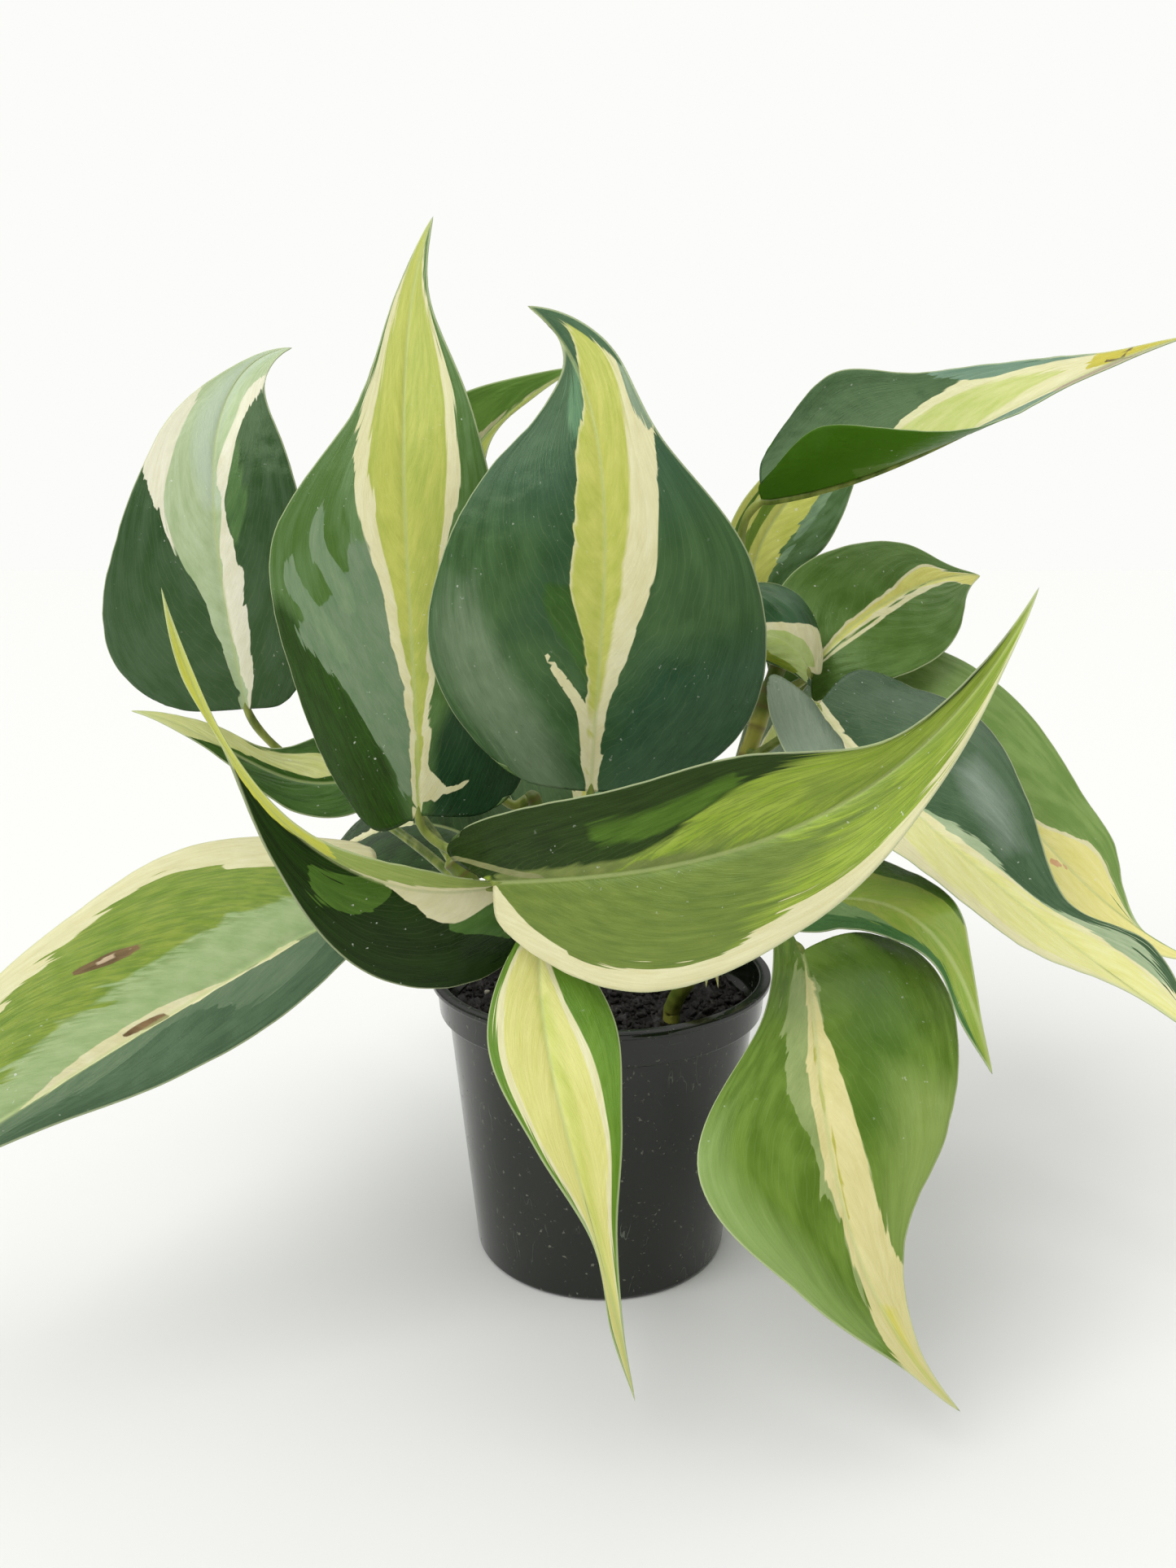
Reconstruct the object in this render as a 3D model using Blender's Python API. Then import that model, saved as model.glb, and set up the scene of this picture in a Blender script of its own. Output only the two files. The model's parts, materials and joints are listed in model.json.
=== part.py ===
"""Silver stripe philodendron in its nursery pot.

Frame: origin at the middle of the pot's base, +X right, +Y towards the back, +Z up.
All sizes below are millimetres; MM turns them into metres when a mesh is made.
"""
import math

import bmesh
import bpy
import numpy as np

MM = 0.001

POT_RIM_RADIUS = 50.0
POT_BASE_RADIUS = 37.5
POT_HEIGHT = 85.0
POT_WALL = 1.4
COLLAR_DROP = 11.5
FLOOR = 1.6
DRAIN_HOLES = 6
DRAIN_RADIUS = 4.0
DRAIN_CIRCLE = 27.0

SOIL_TOP = 75.0
SOIL_GAP = 0.5

BLADE_THICKNESS = 0.7
BLADE_ROWS = 12
BLADE_COLUMNS = 4
SWEEP = 0.06
RIB_REACH = 0.72
PETIOLE_RADIUS = 1.5
PETIOLE_CLEARANCE = 0.36
PETIOLE_FOOT = 2.0

STEM_SIDES = 10
STEM_FOOT = 56.0
STEM_HOLE_PLAY = 0.5

for old in list(bpy.data.objects):
    bpy.data.objects.remove(old)


def unit(v):
    v = np.asarray(v, float)
    return v / np.linalg.norm(v, axis=-1, keepdims=True)


def bezier(points, t):
    a, b, c, d = (np.asarray(p, float) for p in points)
    t = np.asarray(t, float)[:, None]
    return (1 - t) ** 3 * a + 3 * (1 - t) ** 2 * t * b + 3 * (1 - t) * t * t * c + t ** 3 * d


def smooth(values, at):
    """Smooth curve through evenly spaced values, read at 0 to 1."""
    v = np.asarray(values, float)
    last = len(v) - 1
    slope = np.gradient(v)
    x = np.clip(np.asarray(at, float), 0, 1) * last
    i = np.minimum(x.astype(int), last - 1)
    f = x - i
    return (v[i] * (2 * f ** 3 - 3 * f ** 2 + 1) + slope[i] * (f ** 3 - 2 * f ** 2 + f)
            + v[i + 1] * (-2 * f ** 3 + 3 * f ** 2) + slope[i + 1] * (f ** 3 - f ** 2))


def material(name, colour, roughness):
    m = bpy.data.materials.new(name)
    m.use_nodes = True
    shader = m.node_tree.nodes["Principled BSDF"]
    shader.inputs["Base Color"].default_value = (*colour, 1)
    shader.inputs["Roughness"].default_value = roughness
    return m


def mesh_object(name, points, faces, colour, roughness):
    """Closed mesh from millimetre points, with its own material and outward faces."""
    mesh = bpy.data.meshes.new(name)
    mesh.from_pydata([tuple(float(c) * MM for c in p) for p in points], [],
                     [tuple(int(i) for i in f) for f in faces])
    body = bmesh.new()
    body.from_mesh(mesh)
    bmesh.ops.recalc_face_normals(body, faces=body.faces)
    body.to_mesh(mesh)
    body.free()
    mesh.materials.append(material(name, colour, roughness))
    mesh.shade_smooth()
    thing = bpy.data.objects.new(name, mesh)
    bpy.context.scene.collection.objects.link(thing)
    return thing


def join(thing, other):
    """Fuse the other solid into this one and remove it."""
    union = thing.modifiers.new("join", "BOOLEAN")
    union.operation = "UNION"
    union.object = other
    bpy.context.view_layer.update()
    solid = bpy.data.meshes.new_from_object(thing.evaluated_get(bpy.context.evaluated_depsgraph_get()))
    thing.modifiers.remove(union)
    thing.data = solid
    bpy.data.objects.remove(other)


def cut(thing, cutter):
    difference = thing.modifiers.new(cutter.name, "BOOLEAN")
    difference.operation = "DIFFERENCE"
    difference.object = cutter
    cutter.hide_render = True
    cutter.display_type = "WIRE"


def tube(path, radii, sides, up=(0.0, 0.0, 1.0)):
    """Closed round tube along a path, as points and faces."""
    path = np.asarray(path, float)
    along = unit(np.gradient(path, axis=0))
    out = np.asarray(up, float)
    if abs(unit(out) @ along[0]) > 0.9:
        out = np.array([1.0, 0.0, 0.0])
    points = []
    for p, t, r in zip(path, along, radii):
        out = unit(out - (out @ t) * t)
        across = np.cross(t, out)
        for k in range(sides):
            a = 2 * math.pi * k / sides
            points.append(p + r * (math.cos(a) * out + math.sin(a) * across))
    faces = []
    for i in range(len(path) - 1):
        for k in range(sides):
            a, b = i * sides + k, i * sides + (k + 1) % sides
            faces += [(a, b, b + sides), (a, b + sides, a + sides)]
    first, last = len(points), len(points) + 1
    points += [path[0], path[-1]]
    for k in range(sides):
        a, b = k, (k + 1) % sides
        end = (len(path) - 1) * sides
        faces += [(b, a, first), (end + a, end + b, last)]
    return points, faces


def turned(profile, sides):
    """Closed body turned about Z from a profile that starts and ends on the axis."""
    rings = profile[1:-1]
    points = [(0.0, 0.0, profile[0][1])]
    for r, z in rings:
        for k in range(sides):
            a = 2 * math.pi * k / sides
            points.append((r * math.cos(a), r * math.sin(a), z))
    points.append((0.0, 0.0, profile[-1][1]))
    faces = []
    for k in range(sides):
        n = (k + 1) % sides
        faces.append((0, 1 + k, 1 + n))
        for i in range(len(rings) - 1):
            low, high = 1 + i * sides, 1 + (i + 1) * sides
            faces += [(low + k, high + k, high + n), (low + k, high + n, low + n)]
        top = 1 + (len(rings) - 1) * sides
        faces.append((top + k, len(points) - 1, top + n))
    return points, faces


# Pot: thin moulded plastic, tapered wall, a stepped collar under a flat rim lip
inside = POT_RIM_RADIUS - 3.4
wall_top = POT_HEIGHT - COLLAR_DROP
pot_profile = [
    (0, 0), (POT_BASE_RADIUS - 1.0, 0), (POT_BASE_RADIUS, 1.0),
    (POT_RIM_RADIUS - 5.0, wall_top), (POT_RIM_RADIUS - 2.4, wall_top + 1.2),
    (POT_RIM_RADIUS - 1.7, POT_HEIGHT - 2.2), (POT_RIM_RADIUS, POT_HEIGHT - 1.6),
    (POT_RIM_RADIUS, POT_HEIGHT), (inside, POT_HEIGHT),
    (inside - 0.6, POT_HEIGHT - 2.5), (inside - 1.0, wall_top + 2.6),
    (POT_RIM_RADIUS - 5.0 - POT_WALL, wall_top + 0.6),
    (POT_BASE_RADIUS - POT_WALL, FLOOR), (0, FLOOR)]
pot = mesh_object("pot", *turned(pot_profile, 32), (0.015, 0.022, 0.012), 0.3)
for k in range(DRAIN_HOLES):
    a = 2 * math.pi * (k + 0.5) / DRAIN_HOLES
    x, y = DRAIN_CIRCLE * math.cos(a), DRAIN_CIRCLE * math.sin(a)
    hole = mesh_object("drain_cut_%d" % k, *tube([(x, y, -3), (x, y, 5)], [DRAIN_RADIUS] * 2, 12),
                       (0, 0, 0), 0.5)
    cut(pot, hole)

# Stems: five short runners that rise straight from the soil and then lean outwards.
# Each has its foot on the soil, the three further points of its curve and its radius.
STEMS = {
    "stem_left": ((-22, -8), ((-24, -12, 92), (-30, -22, 112), (-42, -20, 124)), 2.6),
    "stem_middle": ((-6, 12), ((-6, 14, 92), (-10, 16, 112), (-22, 22, 134)), 2.4),
    "stem_right": ((24, 12), ((28, 16, 100), (44, 26, 140), (56, 30, 176)), 2.6),
    "stem_front": ((20, -16), ((22, -20, 88), (30, -24, 98), (40, -24, 106)), 2.4),
    "stem_back": ((8, 28), ((8, 32, 88), (12, 38, 98), (20, 42, 104)), 2.4),
}
STEM_LINES = {}
for name, (foot, curve, radius) in STEMS.items():
    bend = bezier([(*foot, SOIL_TOP + 3), *curve], np.linspace(0, 1, 11))
    path = np.concatenate([[(*foot, STEM_FOOT), (*foot, SOIL_TOP)], bend])
    mesh_object(name, *tube(path, [radius] * len(path), STEM_SIDES), (0.14, 0.19, 0.03), 0.4)
    STEM_LINES[name] = (bezier([(*foot, SOIL_TOP + 3), *curve], np.linspace(0, 1, 101)), radius)

# Soil: dark mix that fills the pot, with a lumpy top and a plain hole for each stem
SOIL_SIDES = 32
soil_rings = [(0, FLOOR + SOIL_GAP), (POT_BASE_RADIUS - POT_WALL - SOIL_GAP, FLOOR + SOIL_GAP),
              (POT_RIM_RADIUS - 5.0 - POT_WALL - SOIL_GAP, wall_top),
              (POT_RIM_RADIUS - 6.9, SOIL_TOP), (34, SOIL_TOP), (23, SOIL_TOP), (12, SOIL_TOP), (0, SOIL_TOP)]
soil_points, soil_faces = turned(soil_rings, SOIL_SIDES)
for i, (x, y, z) in enumerate(soil_points):
    if z == SOIL_TOP:
        lump = 0.9 * math.sin(0.31 * x + 1.3) * math.cos(0.27 * y) + 0.6 * math.sin(0.83 * x - 0.71 * y)
        soil_points[i] = (x, y, z + lump)
soil = mesh_object("soil", soil_points, soil_faces, (0.012, 0.010, 0.008), 0.95)
for name, (foot, curve, radius) in STEMS.items():
    hole = mesh_object(name + "_cut", *tube([(*foot, STEM_FOOT - 0.5), (*foot, SOIL_TOP + 9)],
                                            [radius + STEM_HOLE_PLAY] * 2, 12), (0, 0, 0), 0.5)
    cut(soil, hole)


SPINE_STEPS = 60


def spine(leaf):
    """Length, points, directions and upper-side directions along a leaf's midrib."""
    fine = bezier(leaf["midrib"], np.linspace(0, 1, 161))
    run = np.concatenate([[0], np.cumsum(np.linalg.norm(np.diff(fine, axis=0), axis=1))])
    even = np.linspace(0, run[-1], SPINE_STEPS + 1)
    points = np.stack([np.interp(even, run, fine[:, k]) for k in range(3)], 1)
    along = unit(np.gradient(points, axis=0))
    up = np.asarray(leaf["face"], float)
    ups = []
    for t in along:
        up = unit(up - (up @ t) * t)
        ups.append(up)
    ups = np.array(ups)
    a = np.radians(leaf["turn"]) * np.linspace(0, 1, SPINE_STEPS + 1)[:, None]
    return run[-1], points, along, ups * np.cos(a) + np.cross(along, ups) * np.sin(a)


def read(series, at):
    """Values between the spine's steps."""
    steps = np.arange(SPINE_STEPS + 1)
    return np.stack([np.interp(at, steps, series[:, k]) for k in range(3)], 1)


def blade_grid(leaf, rows, columns):
    """Middle surface of a heart-shaped blade: rows from lobes to tip, columns edge to edge."""
    length, points, along, ups = spine(leaf)
    across = np.cross(along, ups)
    q = np.linspace(0, 1, rows) ** 1.15
    grid = np.zeros((rows, 2 * columns - 1, 3))
    for sign, half in ((-1, leaf["left"]), (1, leaf["right"])):
        full = max(half["widths"])
        width = smooth([*half["widths"], 0], q)
        width = width * (0.75 + 0.25 * np.sqrt(1 - (1 - np.minimum(q / 0.15, 1)) ** 2))
        bend = math.radians(half["curl"] or 0.1)
        for j, u in enumerate(np.linspace(0, 1, columns)):
            station = q + SWEEP * 4 * q * (1 - q) * u ** 1.5 - half["lobe"] * (1 - q) ** 5 * math.sin(2 * u)
            on = np.clip(station, 0, 1)
            fold = np.radians(smooth(half["folds"], on))
            turn = bend * width * u / full
            out = full / bend * (np.sin(fold + turn) - np.sin(fold))
            rise = -full / bend * (np.cos(fold + turn) - np.cos(fold))
            p, t, n, b = (read(s, on * SPINE_STEPS) for s in (points, along, ups, across))
            behind = np.minimum(station, 0) * length
            grid[:, columns - 1 + sign * j] = (p + behind[:, None] * t + sign * out[:, None] * b
                                               + rise[:, None] * n)
    return grid


def blade(leaf):
    """Blade with two alike faces, split into triangles that mirror at the midrib."""
    grid = blade_grid(leaf, BLADE_ROWS, BLADE_COLUMNS)
    normal = np.cross(np.gradient(grid, axis=1), np.gradient(grid, axis=0))
    normal = normal / np.maximum(np.linalg.norm(normal, axis=-1, keepdims=True), 1e-9)
    rows, columns = BLADE_ROWS - 1, 2 * BLADE_COLUMNS - 1
    middle = BLADE_COLUMNS - 1
    upper = (grid + normal * BLADE_THICKNESS / 2)[:rows].reshape(-1, 3)
    lower = (grid - normal * BLADE_THICKNESS / 2)[:rows].reshape(-1, 3)
    points = [*upper, *lower, grid[-1, middle]]
    back, tip = rows * columns, 2 * rows * columns
    faces = []
    for i in range(rows - 1):
        for j in range(columns - 1):
            a, b = i * columns + j, i * columns + j + 1
            c, d = a + columns, b + columns
            if j < middle:
                pair = [(a, b, c), (c, b, d)]
            else:
                pair = [(a, b, d), (a, d, c)]
            faces += pair
            faces += [(z + back, y + back, x + back) for x, y, z in pair]
        for edge in (0, columns - 1):
            a = i * columns + edge
            c = a + columns
            faces += [(a, c, c + back), (a, c + back, a + back)]
    for j in range(columns - 1):
        a = (rows - 1) * columns + j
        faces += [(a, a + 1, tip), (a + 1 + back, a + back, tip)]
        faces += [(j + 1, j, j + back), (j + 1, j + back, j + 1 + back)]
    for edge in (0, columns - 1):
        a = (rows - 1) * columns + edge
        faces.append((a, tip, a + back))
    return points, faces


def petiole(leaf):
    """Leaf stalk from its stem to the blade, running on under the blade as the midrib."""
    length, points, along, ups = spine(leaf)
    line, radius = STEM_LINES[leaf["stem"]]
    at = int(round(leaf["station"] * 100))
    seat = line[at]
    stem_way = unit(line[min(at + 2, 100)] - line[at - 2])
    out = points[0] - seat
    out = unit(out - (out @ stem_way) * stem_way)
    foot = seat + out * (radius + PETIOLE_CLEARANCE)
    ankle = foot + out * PETIOLE_FOOT
    way = leaf["way"] or (points[0] - along[0] * leaf["reach"][0], foot + out * leaf["reach"][1])
    stalk = bezier([points[0], *way, ankle], np.linspace(0, 1, 6))
    stalk[0] = points[0] - ups[0] * 0.6
    on = (np.linspace(RIB_REACH, 0.03, 5) * SPINE_STEPS).astype(int)
    rib_radius = np.linspace(0.45, 1.0, 5)
    rib = points[on] - ups[on] * (rib_radius * 0.55)[:, None]
    radii = np.concatenate([rib_radius, np.linspace(1.1, PETIOLE_RADIUS, 7)])
    return tube(np.concatenate([rib, stalk, [foot]]), radii, 6, up=ups[0])


def side(widths, folds, curl=0, lobe=0.14):
    """Half a blade: half widths in mm from base to tip, folds in degrees, curl, lobe."""
    return dict(widths=widths, folds=folds, curl=curl, lobe=lobe)


def leaf(name, midrib, face, turn, left, right, stem, station, reach=(10, 8), way=None,
         colour=(0.06, 0.13, 0.04)):
    spec = dict(midrib=midrib, face=face, turn=turn, left=left, right=right, stem=stem,
                station=station, reach=reach, way=way)
    whole = mesh_object(name, *blade(spec), colour, 0.35)
    join(whole, mesh_object(name + "_stalk", *petiole(spec), colour, 0.35))


DARK = (0.05, 0.11, 0.04)
LIME = (0.30, 0.36, 0.10)
YELLOW = (0.60, 0.56, 0.20)

# Leaves. Midrib: joint with the stalk, two handles and tip. Then the way the upper side
# faces at the joint and the twist towards the tip in degrees. left and right are seen
# from above with the tip pointing away.

# Dark blue-green with a pale grey-green middle
leaf("leaf_far_left", ((-106, 18, 160), (-109, 8, 200), (-121, 14, 258), (-91, 34, 265)),
     (0, -1, 0.15), -4,
     left=side((34, 40, 29, 17, 4), (1, 3, 11), curl=-20, lobe=0),
     right=side((19, 27, 27, 21, 9), (8, 12, 17), curl=-10, lobe=0),
     stem="stem_left", station=0.72, way=((-104, 30, 140), (-62, 26, 126)), colour=DARK)

# Tallest leaf, lime stripe edged with cream
leaf("leaf_tall", ((-50.9, -13.5, 134.5), (-47.9, -23.7, 186.5), (-58.1, -17.6, 253.9), (-45.8, 11, 295.7)),
     (-0.1, -1, 0.12), -6,
     left=side((25, 36, 38, 13, 5), (-5, 10, 9), curl=-20, lobe=0.045),
     right=side((31, 31, 25.5, 18, 5), (-6, 1, 9), curl=-10, lobe=0),
     stem="stem_left", station=0.98, reach=(8, 6), colour=DARK)

# Broad dark leaf in the middle, hooked tip
leaf("leaf_centre", ((-3, -26.9, 144.1), (-1.1, -40.3, 191.9), (9.4, -34.6, 245.3), (-19.3, -13.6, 268.3)),
     (0, -1, 0.12), -15,
     left=side((30.5, 45, 42, 28.5, 3), (-4, 9, 4), curl=-20, lobe=0),
     right=side((34.5, 43, 36.5, 16, 9.5), (-3, 10, 21), curl=-25, lobe=0),
     stem="stem_middle", station=0.6, reach=(14, 10), colour=DARK)

# Behind the tall and middle leaves
leaf("leaf_behind_tall", ((-52, 32, 176), (-52, 26, 209), (-47, 26, 240), (-6, 36, 260)),
     (0, -1, 0.2), -1,
     left=side((19, 27, 24, 15, 6), (10, 10, 10)),
     right=side((18, 21, 12, 2, 1), (10, 11, 11)),
     stem="stem_middle", station=0.97, reach=(12, 10), colour=DARK)

# Long leaf to the upper right, near half folded up
leaf("leaf_upper_right", ((47, 22, 221), (86, 5, 225), (112, -10, 250), (148, -20, 260)),
     (-0.1, -0.75, 0.7), 8,
     left=side((21, 33, 23, 13.5, 4), (19, 10, 8), curl=20, lobe=0.01),
     right=side((10, 24, 19, 4, 1.5), (88, 32, 2), curl=50, lobe=0),
     stem="stem_right", station=0.97, way=((36, 30, 214), (46, 34, 192)), colour=DARK)

# Narrow upright leaf under the upper right one
leaf("leaf_upright_right", ((52, 53, 182), (41, 50, 203), (58, 52, 227), (87, 61, 243)),
     (-0.2, -1, 0.1), -1,
     left=side((7, 12, 13, 10, 4), (30, 28, 19)),
     right=side((5, 11, 18, 16, 9), (-1, 0, 0)),
     stem="stem_right", station=0.8, reach=(8, 6), colour=LIME)

# Small young leaf curled over at the right crown
leaf("leaf_curled", ((61, 15, 172), (56, 9, 185), (40, 9, 185), (27, 18, 183)),
     (0, -0.6, 0.8), -5,
     left=side((2, 8, 9, 7, 3), (-9, -9, -10), curl=-90),
     right=side((11, 20, 21, 17, 10), (7, 9, 6), curl=-40),
     stem="stem_right", station=0.9, reach=(5, 4), colour=DARK)

# Round leaf at the right
leaf("leaf_round_right", ((66, 34, 170), (73, 34, 184), (101, 40, 201), (123, 56, 198)),
     (-0.1, -1, 0.5), -1,
     left=side((15, 25, 23, 16, 4), (1, 1, 2), curl=-10),
     right=side((10, 21, 24, 19, 7), (12, 14, 12), curl=-10, lobe=0.12),
     stem="stem_right", station=0.86, reach=(5, 4), colour=DARK)

# Heart-shaped leaf reaching down to the right
leaf("leaf_heart_right", ((62, 2, 163), (70, -10, 149), (102, -36, 118), (145, -66, 91)),
     (0.2, -0.7, 0.8), 6,
     left=side((38, 41, 26, 9, 13), (2, 19, 16), curl=-15, lobe=0.07),
     right=side((19, 26, 19, 14, 2), (18, 26, 4), curl=-15, lobe=0.1),
     stem="stem_right", station=0.72, way=((60, 8, 158), (52, 14, 150)), colour=DARK)

# Large lime leaf across the front
leaf("leaf_front", ((-27, -55, 127), (9, -78, 135), (64, -92, 140), (100, -60, 199)),
     (0, -1, 0.35), -1,
     left=side((18, 21, 21, 7, 3), (35, 35, 35), lobe=0.07),
     right=side((17, 28, 21, 10, 3), (-1, 0, 10), curl=-20, lobe=0),
     stem="stem_left", station=0.76, way=((-30, -50, 133), (-22, -34, 134)), colour=LIME)

# Behind the heart-shaped leaf
leaf("leaf_right_back", ((93, 34, 163), (116, 24, 153), (131, 4, 107), (168, -18, 93)),
     (0.1, -0.7, 0.7), 1,
     left=side((19, 25, 22, 17, 1), (7, 7, 0), lobe=0.16),
     right=side((17, 25, 22, 15, 8), (8, 10, 4)),
     stem="stem_right", station=0.6, reach=(14, 10), colour=LIME)

# Hangs over the rim at the right
leaf("leaf_hanging_right", ((51, -46, 106), (51, -84, 100), (43, -100, 52), (81, -100, 15)),
     (0, -1, 0.2), -7,
     left=side((33, 35, 28, 11, 3), (6, 3, 1), curl=-15, lobe=0.08),
     right=side((6, 12, 31, 16, 4), (7, 9, 8), curl=-20, lobe=0.16),
     stem="stem_front", station=0.97, reach=(10, 6), colour=DARK)

# Small hooked leaf above the hanging one
leaf("leaf_hooked", ((63, -16, 111), (80, -43, 121), (84, -71, 118), (90, -80, 88)),
     (0, -0.8, 0.7), -7,
     left=side((23, 15, 12, 5, 1), (-1, -20, -26), curl=-20),
     right=side((13, 11, 8, 4, 4), (2, 8, 8)),
     stem="stem_front", station=0.9, reach=(10, 6), colour=LIME)

# Narrow yellow leaf that hangs over the front of the rim
leaf("leaf_hanging_front", ((-16, -51, 113), (-17, -72, 84), (-2, -100, 67), (7, -98, 16)),
     (0, -1, 0.2), -1,
     left=side((7, 17, 13, 5, 1), (9, 8, 8), curl=-10, lobe=0.05),
     right=side((5, 14, 8, 1, 2), (8, 9, 10), curl=-10, lobe=0.04),
     stem="stem_left", station=0.46, way=((-12, -40, 108), (-15, -28, 100)), colour=YELLOW)

# Dark folded leaf at the left front
leaf("leaf_front_left", ((-29, -42, 122), (-61, -74, 124), (-88, -74, 151), (-102, -60, 199)),
     (0, -1, 0.5), -5,
     left=side((26, 23, 9, 1, 2), (-24, -18, 2), curl=-20, lobe=0.1),
     right=side((3, 7, 2, 1, 1), (64, 65, 34), lobe=0.02),
     stem="stem_left", station=0.62, reach=(8, 8), colour=DARK)

# Broad leaf reaching down to the left
leaf("leaf_lower_left", ((-68, -29, 111), (-91, -52, 104), (-129, -74, 84), (-169, -95, 60)),
     (-0.1, -0.8, 0.7), -14,
     left=side((10, 17, 15, 8, 3), (20, 5, -8), curl=-15, lobe=0.08),
     right=side((25, 39, 36, 29, 15), (14, 15, 11), curl=-15),
     stem="stem_left", station=0.54, reach=(12, 10), colour=LIME)

# Small leaf pointing left behind the tall one
leaf("leaf_small_left", ((-72, 22, 139), (-98, 14, 130), (-109, 4, 157), (-136, 6, 161)),
     (0, -0.8, 0.7), 2,
     left=side((11, 13, 8, 4, 2), (5, 7, 7)),
     right=side((18, 16, 7, 6, 3), (10, 6, 4)),
     stem="stem_left", station=0.9, colour=DARK)

# Behind the middle leaf
leaf("leaf_behind_centre", ((5, 38, 170), (12, 36, 200), (13, 40, 228), (13, 46, 243)),
     (0.1, -1, 0.2), 0,
     left=side((14, 22, 20, 12, 5), (8, 8, 12), curl=-15),
     right=side((14, 22, 22, 19, 11), (8, 8, 8), curl=-15),
     stem="stem_middle", station=0.5, reach=(14, 10), colour=DARK)

# Arching back at the left
leaf("leaf_back_left", ((-42, 52, 111), (-58, 66, 117), (-82, 88, 111), (-112, 118, 80)),
     (-0.3, -0.6, 0.75), 0,
     left=side((17, 27, 26, 17, 7), (8, 8, 12), curl=-15),
     right=side((17, 27, 26, 17, 7), (8, 8, 12), curl=-15),
     stem="stem_middle", station=0.8, reach=(14, 10), colour=DARK)

# Arching straight back
leaf("leaf_back", ((-4, 54, 112), (-4, 78, 142), (10, 110, 162), (24, 142, 138)),
     (0, 0.4, 1), 0,
     left=side((23, 28, 26, 17, 7), (8, 8, 12), curl=-15),
     right=side((23, 28, 26, 17, 7), (8, 8, 12), curl=-15),
     stem="stem_back", station=0.8, reach=(12, 8), colour=DARK)

# Arching back at the right
leaf("leaf_back_right", ((46, 54, 114), (58, 78, 166), (88, 100, 166), (114, 118, 104)),
     (0.4, 0.4, 1), 0,
     left=side((16, 24, 22, 15, 6), (8, 8, 12), curl=-15),
     right=side((16, 24, 22, 15, 6), (8, 8, 12), curl=-15),
     stem="stem_back", station=0.95, reach=(12, 8), colour=DARK)
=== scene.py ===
"""Potted silver stripe philodendron: the finish of every surface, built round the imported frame.

Sizes are millimetres in the part's frame (origin under the pot, +X right, +Y back, +Z up).
"""
import json
import math

import bmesh
import bpy
import numpy as np
from mathutils import Matrix, Vector

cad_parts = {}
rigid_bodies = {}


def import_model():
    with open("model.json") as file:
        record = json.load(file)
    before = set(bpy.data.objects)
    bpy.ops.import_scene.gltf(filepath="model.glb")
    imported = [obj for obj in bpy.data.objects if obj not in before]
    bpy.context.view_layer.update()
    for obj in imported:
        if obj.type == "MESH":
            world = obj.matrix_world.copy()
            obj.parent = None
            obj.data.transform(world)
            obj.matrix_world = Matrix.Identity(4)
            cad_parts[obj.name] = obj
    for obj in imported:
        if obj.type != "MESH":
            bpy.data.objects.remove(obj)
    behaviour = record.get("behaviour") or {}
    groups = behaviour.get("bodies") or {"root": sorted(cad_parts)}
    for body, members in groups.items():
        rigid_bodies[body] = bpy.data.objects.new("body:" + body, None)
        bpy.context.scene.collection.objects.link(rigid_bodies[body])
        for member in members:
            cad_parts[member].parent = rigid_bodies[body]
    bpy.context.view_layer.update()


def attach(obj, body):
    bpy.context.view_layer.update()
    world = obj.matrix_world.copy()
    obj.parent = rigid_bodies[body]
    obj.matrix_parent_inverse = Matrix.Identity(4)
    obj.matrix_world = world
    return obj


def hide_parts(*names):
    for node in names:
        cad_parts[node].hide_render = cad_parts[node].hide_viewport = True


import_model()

# The pot is a nursery pot, injection moulded in thin dark green polypropylene: a tapered wall, a
# stepped collar, a flat rim lip, and a flat base with a gate mark and six drain holes. Handling
# has left fine scratches and dust on it.
MM = 0.001
POT_RIM_RADIUS, POT_BASE_RADIUS, POT_HEIGHT = 50.0, 37.5, 85.0
POT_WALL, POT_FLOOR = 1.4, 1.6
BASE_BEVEL = 1.0
GATE_RADIUS, GATE_DEPTH, GATE_SLOPE = 6.0, 0.35, 1.5
COLLAR_FOOT, COLLAR_RISE = 73.5, 1.2
WALL_TOP_RADIUS, COLLAR_FOOT_RADIUS, COLLAR_TOP_RADIUS = 45.0, 47.6, 48.3
LIP_WIDTH, LIP_THICKNESS, LIP_ROOT = 3.4, 1.6, 0.6
CORNER_ROUND = 0.5
TURN_STEPS = 144
DRAIN_HOLES, DRAIN_RADIUS, DRAIN_CIRCLE, DRILL_STEPS = 6, 4.0, 27.0, 32
POT_GREEN, POT_BLACK, POT_SCUFF, POT_DUST = "#081108", "#1a1d14", "#5c6455", "#8d8f7e"


def srgb(code):
    """Hex colour as linear light."""
    parts = [int(code[i:i + 2], 16) / 255 for i in (1, 3, 5)]
    return (*[c / 12.92 if c < 0.04045 else ((c + 0.055) / 1.055) ** 2.4 for c in parts], 1)


def finish(name, **numbers):
    """New material and its node tree; numbers set its shader's own sockets."""
    skin = bpy.data.materials.new(name)
    skin.use_nodes = True
    shader = skin.node_tree.nodes["Principled BSDF"]
    for key, value in numbers.items():
        shader.inputs[key.replace("_", " ")].default_value = value
    return skin, skin.node_tree


def add(tree, kind, inputs, out=0, **settings):
    """Add a shader node with its settings, link or set its inputs, and give one output.

    Inputs and the output go by name or number. A MapRange takes its value at 0, the ends of its
    range at 1 and 2, and its greatest result at 4. A colour Mix takes its share at 0 and its two
    colours at 6 and 7, and gives its result at 2.
    """
    node = tree.nodes.new("ShaderNode" + kind)
    for key, value in settings.items():
        setattr(node, key, value)
    for key, value in inputs.items():
        if isinstance(value, bpy.types.NodeSocket):
            tree.links.new(value, node.inputs[key])
        else:
            node.inputs[key].default_value = value
    return node.outputs[out]


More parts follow.
